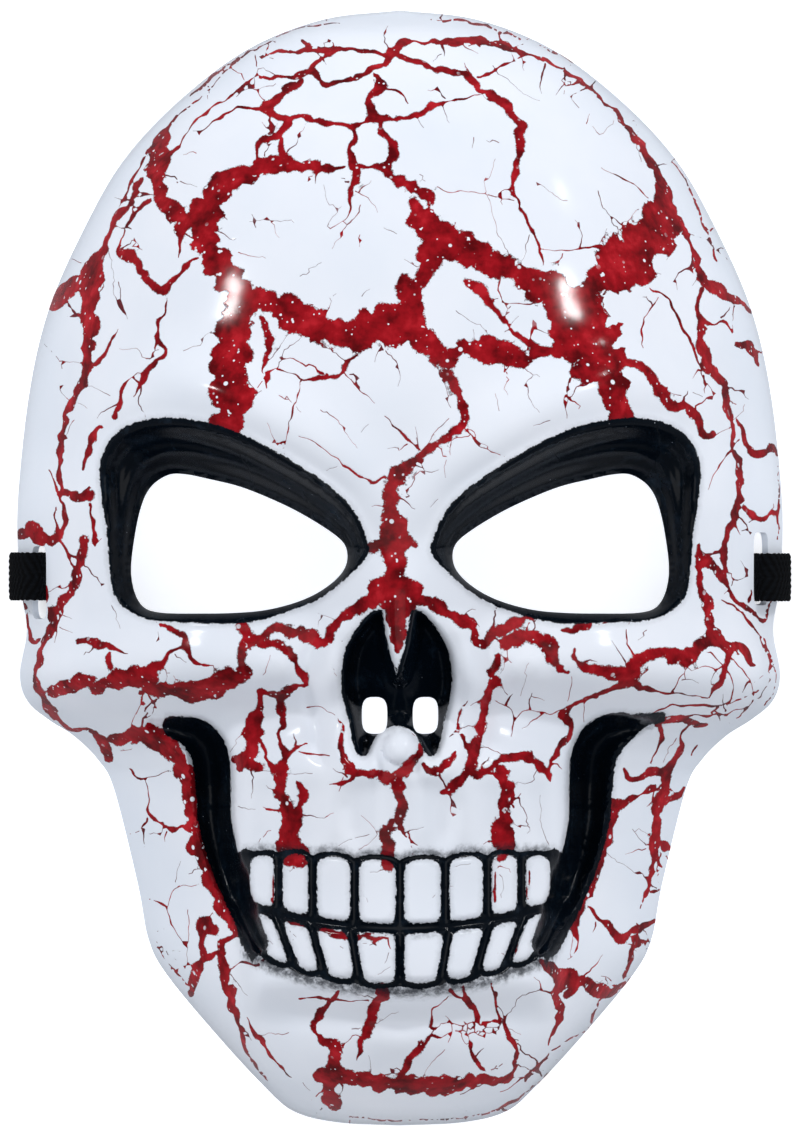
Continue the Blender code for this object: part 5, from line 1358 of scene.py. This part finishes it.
# %% A socket that does sums
class Signal:
    """A socket in a material that takes part in Python sums."""

    def __init__(self, tree, socket=None):
        self.tree = tree
        self.socket = socket

    def make(self, kind, settings=None, sockets=None, output=0):
        """Any node: its settings first, then the numbers or links of its sockets."""
        node = self.tree.nodes.new(kind)
        for name, value in (settings or {}).items():
            setattr(node, name, value)
        for name, value in (sockets or {}).items():
            if isinstance(value, Signal):
                self.tree.links.new(value.socket, node.inputs[name])
            else:
                node.inputs[name].default_value = value
        return Signal(self.tree, node.outputs[output])

    def math(self, operation, a, b=0.0):
        return self.make("ShaderNodeMath", {"operation": operation}, {0: a, 1: b})

    def __add__(self, other):
        return self.math("ADD", self, other)

    def __radd__(self, other):
        return self.math("ADD", other, self)

    def __sub__(self, other):
        return self.math("SUBTRACT", self, other)

    def __rsub__(self, other):
        return self.math("SUBTRACT", other, self)

    def __mul__(self, other):
        return self.math("MULTIPLY", self, other)

    def __rmul__(self, other):
        return self.math("MULTIPLY", other, self)

    def at_least(self, other):
        return self.math("MAXIMUM", self, other)

    def at_most(self, other):
        return self.math("MINIMUM", self, other)

    def size(self):
        return self.math("ABSOLUTE", self)

    def step(self, start, end):
        """0 at start, 1 at end, softly, in either direction."""
        return self.make("ShaderNodeMapRange", {"interpolation_type": "SMOOTHSTEP"},
                         {0: self, 1: start, 2: end, 3: 0.0, 4: 1.0})

    def mix(self, low, high):
        """The colour low where this is 0 and high where it is 1."""
        return self.make("ShaderNodeMix", {"data_type": "RGBA"}, {0: self, 6: low, 7: high}, 2)

    def number(self, name):
        """A number that the mesh keeps at each point."""
        return self.make("ShaderNodeAttribute", {"attribute_name": name}, output=2)

    def noise(self, feature, detail=2.0, roughness=0.5, offset=(0, 0, 0)):
        """Noise between -0.5 and 0.5 whose lumps are about this many millimetres wide."""
        place = self.make("ShaderNodeVectorMath", {"operation": "ADD"}, {0: self, 1: offset})
        return self.make("ShaderNodeTexNoise", {}, {"Vector": place, "Scale": 1 / feature,
                         "Detail": detail, "Roughness": roughness}) - 0.5

    def spots(self, feature, radius, share, offset=(0, 0, 0)):
        """1 inside round spots, which stand in this share of the cells."""
        place = self.make("ShaderNodeVectorMath", {"operation": "ADD"}, {0: self, 1: offset})
        cell = self.make("ShaderNodeTexVoronoi", {}, {"Vector": place, "Scale": 1 / feature})
        colour = Signal(self.tree, cell.socket.node.outputs["Color"])
        pick = self.make("ShaderNodeSeparateColor", {}, {0: colour})
        green = Signal(self.tree, pick.socket.node.outputs[1])
        radius = (0.35 + 0.65 * green) * (radius / feature)
        return (cell - radius).step(0.03, -0.03) * pick.step(share + 0.01, share - 0.01)


def new_material(name):
    """An empty material: its shader, and a Signal of the place on the piece in millimetres."""
    material = bpy.data.materials.new(name)
    material.use_nodes = True
    tree = material.node_tree
    shader = tree.nodes["Principled BSDF"]
    start = Signal(tree)
    place = start.make("ShaderNodeTexCoord", output=3)
    place = place.make("ShaderNodeVectorMath", {"operation": "SCALE"}, {0: place, "Scale": 1 / MM})
    return material, shader, place


def rgb(text):
    """A colour such as e8edf4 as the linear values that a shader needs."""
    parts = [int(text[k:k + 2], 16) / 255 for k in (0, 2, 4)]
    return tuple(v / 12.92 if v < 0.04 else ((v + 0.055) / 1.055) ** 2.4 for v in parts) + (1.0,)


print("white paint as linear values", [round(v, 3) for v in rgb("e8edf4")])

# %% [markdown]
# ## White over red, with black on top
# The white coat ends in ragged edges where the crackle pulled it back. The red under it is
# mottled, dark in deep pools, and full of tiny white flecks. Black gloss fills the sockets, the
# nose and the gaps of the teeth. Each coat is a mask made from a distance plus noise.

# %% The painted shell
WHITE = rgb("eef1f8")
RED = rgb("96101a")
DARK_RED = rgb("54060b")
BRIGHT_RED = rgb("b51f29")
BLACK = rgb("050c14")

paint, gloss, place = new_material("crackle_paint_on_plastic")
crack, girth = place.number("crack"), place.number("girth")
reach = (girth * 0.6).at_most(0.8).at_least(0.03)
rag = place.noise(2.4, 3.0, 0.6) * 1.3 + place.noise(0.8, 5.0, 0.8, (9, 4, 0)) * 3.0
edge_of_red = crack + rag * reach
wide_band = girth.step(0.6, 1.6)
islands = place.noise(2.4, 2.0, 0.5, (40, 0, 0)).step(0.21, 0.24) * wide_band
flecks = place.spots(2.6, 0.60, 0.34).at_least(place.spots(1.2, 0.30, 0.30, (5, 5, 5)))
flecks = flecks * girth.step(0.4, 0.9) * place.noise(8.0, 2.0, 0.5, (70, 0, 0)).step(-0.12, 0.05)
red = edge_of_red.step(0.06, -0.06) * (1 - islands) * (1 - flecks)

mottle = place.noise(6.0, 4.0, 0.5, (3, 8, 0)) + place.noise(1.8, 2.0, 0.5, (1, 2, 3)) * 0.35
red_colour = mottle.step(-0.10, 0.22).mix(RED, DARK_RED)
red_colour = mottle.step(-0.05, -0.25).mix(red_colour, BRIGHT_RED)
line_dark = place.number("ink") * (1 - girth.step(0.15, 0.4))
red_colour = (line_dark * 0.7).mix(red_colour, rgb("4a2a30"))
# Painted shadow: a thin dark line on the white along each red edge, where the white coat's edge
# would cast it.
painted_edge_shadow = edge_of_red.size().step(0.26, 0.04) * girth.step(0.2, 0.6)
painted_edge_shadow = painted_edge_shadow * place.noise(3.1, 2.0, 0.5, (0, 30, 0)).step(-0.2, 0.1)
white_colour = (place.noise(22.0, 3.0, 0.5) + 0.5).mix(WHITE, rgb("dfe6f0"))
# Painted shade: the white is tinted blue-grey low on the side walls, near the floor, where less
# light reaches.
painted_wall_shade = place.make("ShaderNodeSeparateXYZ", {}, {0: place}, 2).step(34.0, 4.0)
white_colour = (painted_wall_shade * 0.3).mix(white_colour, rgb("cfdae6"))
white_colour = (painted_edge_shadow * 0.75).mix(white_colour, rgb("2a0d12"))

black_rag = place.noise(1.4, 3.0, 0.65, (7, 7, 7)) * 0.9
black_rag = black_rag + place.noise(0.4, 2.0, 0.5, (2, 7, 7)) * 0.4
black_edge = place.number("black") + black_rag * 1.2
black = black_edge.step(0.10, -0.10)
spray = black_edge.step(1.5, -0.4) * 0.32 * (place.noise(5.0, 2.0) + 0.7)
# Grey bands along the gum lines and the bite, broken up by noise.
gum_grey = (place.number("gum_grey") * (place.noise(1.9, 4.0, 0.7, (11, 0, 0)) + 0.42)).step(0.10, 0.75)
# Patches of the black are a little rougher, a duller finish, and their blue-grey colour is a
# painted reflection.
dull_and_sheen = place.noise(6.0, 5.0, 0.7, (0, 0, 50)).step(0.0, 0.35)
specks = place.spots(1.3, 0.16, 0.13, (8, 1, 0))
specks = specks * place.noise(14.0, 1.0, 0.5, (9, 9, 0)).step(0.02, 0.12)
black_colour = (dull_and_sheen * 0.8).mix(BLACK, rgb("1e2c3a"))
black_colour = (specks * 0.8).mix(black_colour, rgb("c9d0d8"))

colour = red.mix(white_colour, red_colour)
colour = spray.at_least(gum_grey * 0.9).mix(colour, rgb("1a1f27"))
colour = black.mix(colour, black_colour)
links = paint.node_tree.links
links.new(colour.socket, gloss.inputs["Base Color"])
rough = 0.12 + 0.07 * (place.noise(9.0, 3.0, 0.6, (0, 5, 0)) + 0.5) - 0.03 * red
rough = rough + black * (dull_and_sheen * 0.16 + 0.02)
links.new(rough.socket, gloss.inputs["Roughness"])
gloss.inputs["IOR"].default_value = 1.4
gloss.inputs["Specular IOR Level"].default_value = 0.16
coat_edge = edge_of_red.step(-0.12, 0.30)
height = coat_edge + place.noise(0.9, 3.0, 0.6) * 0.012 + place.noise(6.0, 2.0) * 0.25
height = height + black * place.noise(0.8, 4.0, 0.7, (5, 0, 5)) * 0.35
bump = place.make("ShaderNodeBump", {}, {"Strength": 0.6, "Distance": 0.10 * MM, "Height": height})
links.new(bump.socket, gloss.inputs["Normal"])
shell.data.materials.append(paint)
print("nodes in the paint", len(paint.node_tree.nodes))

# %% [markdown]
# ## Black yarn
# Elastic is matt and fuzzy. Its colour is nearly black with a random fibre colour, and a painted
# highlight makes it a little greyer on top of each stitch, with painted shade between the stitches;
# the slant of the stitches is drawn from the places along and across the band that the mesh keeps.

# %% The elastic's material
yarn, cloth, place = new_material("black_knitted_yarn")
along, across = place.number("along"), place.number("across")
wave = place.math("SINE", (along + across.size() * 0.55) * (2 * math.pi / KNIT_STITCH))
fibre = place.noise(0.35, 3.0, 0.7)
# Greyer on the tops of the stitches and darker between them is painted highlight and painted shade;
# the fibre noise is the yarn's own random colour.
stitch_light_and_fibre_colour = (wave * 0.25 + fibre * 0.9 + 0.4).step(0.0, 1.0)
links = yarn.node_tree.links
links.new(stitch_light_and_fibre_colour.mix(rgb("010102"), rgb("0b0f14")).socket, cloth.inputs["Base Color"])
cloth.inputs["Roughness"].default_value = 0.9
cloth.inputs["Specular IOR Level"].default_value = 0.1
cloth_height = wave * 0.5 + fibre * 0.8
bump = place.make("ShaderNodeBump", {}, {"Strength": 0.8, "Distance": 0.12 * MM,
                                         "Height": cloth_height})
links.new(bump.socket, cloth.inputs["Normal"])
elastic.data.materials.append(yarn)

thread, fine, place = new_material("waxed_thread")
links = thread.node_tree.links
twist = place.noise(0.2, 2.0, 0.6)
links.new((twist + 0.5).mix(rgb("0b0c0e"), rgb("2e3136")).socket, fine.inputs["Base Color"])
fine.inputs["Roughness"].default_value = 0.55
grow(stitches, stitch_tree(thread),
     {"Stitch length": 1.9 * MM, "Thread radius": 0.14 * MM, "Seed": 3})
print("bar tack faces", len(stitches.data.polygons))

# %% [markdown]
# ## Floor and light
# The photograph is a product shot: white all round, with big soft lights that leave two soft
# shines high on the forehead, one on each side. A pale floor catches only a faint shadow.

# %% Pale floor
FLOOR_REACH = 4000
FLOOR_Z = -0.2
floor = new_piece("floor", [(x * FLOOR_REACH, y * FLOOR_REACH, FLOOR_Z)
                            for x, y in ((-1, -1), (1, -1), (1, 1), (-1, 1))], [(0, 1, 2, 3)])
pale, matt, place = new_material("pale_floor")
links = pale.node_tree.links
links.new((place.noise(60.0, 2.0) + 0.5).mix(rgb("fbfbfc"), rgb("f6f7f9")).socket,
          matt.inputs["Base Color"])
matt.inputs["Roughness"].default_value = 0.9
matt.inputs["Emission Color"].default_value = (1, 1, 1, 1)
matt.inputs["Emission Strength"].default_value = 0.50
floor.data.materials.append(pale)
floor.visible_glossy = False
floor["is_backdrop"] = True
print("floor is", floor.name)

# %% Soft boxes
SOFTBOX_AIM = Vector((0, 0, 0.03))


def softbox(name, place, size, power):
    """A rectangular light that faces the mask; its place and size are in metres."""
    light = bpy.data.lights.new(name, "AREA")
    light.shape = "RECTANGLE"
    light.size, light.size_y = size
    light.energy = power
    lamp = bpy.data.objects.new(name, light)
    lamp.location = place
    lamp.rotation_euler = (Vector(place) - SOFTBOX_AIM).to_track_quat("Z", "Y").to_euler()
    bpy.context.scene.collection.objects.link(lamp)


softbox("overhead_softbox", (0.0, -0.1, 2.2), (2.6, 2.6), 29.5)
softbox("left_softbox", (-1.38, 1.12, 0.96), (0.09, 0.22), 11)
softbox("right_softbox", (1.38, 1.12, 0.96), (0.09, 0.22), 11)
softbox("low_softbox", (1.30, 1.49, 0.34), (0.10, 0.10), 1.5)
room = bpy.data.worlds.new("studio")
room.use_nodes = True
sky = room.node_tree.nodes["Background"]
sky.inputs["Color"].default_value = (0.87, 0.91, 1.0, 1.0)
sky.inputs["Strength"].default_value = 0.28
bpy.context.scene.world = room
bpy.context.scene.view_settings.view_transform = "Standard"

# %% [markdown]
# ## The pieces in the model
# The shell and the elastic hang under the model's root, and the parts of the model that they
# take the place of are hidden. The bar tacks hang under the root as well.

# %% Hang the pieces under the root and hide the parts they replace
for piece, node, slot in ((shell, "mask_shell", "shell"), (elastic, "elastic_strap", "elastic")):
    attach(piece, "root")
    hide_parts(node)
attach(stitches, "root")
route_points[0] * MM
route_points * MM
print("visual box in mm", [[round(v / MM, 1) for v in corner] for corner in corners()])
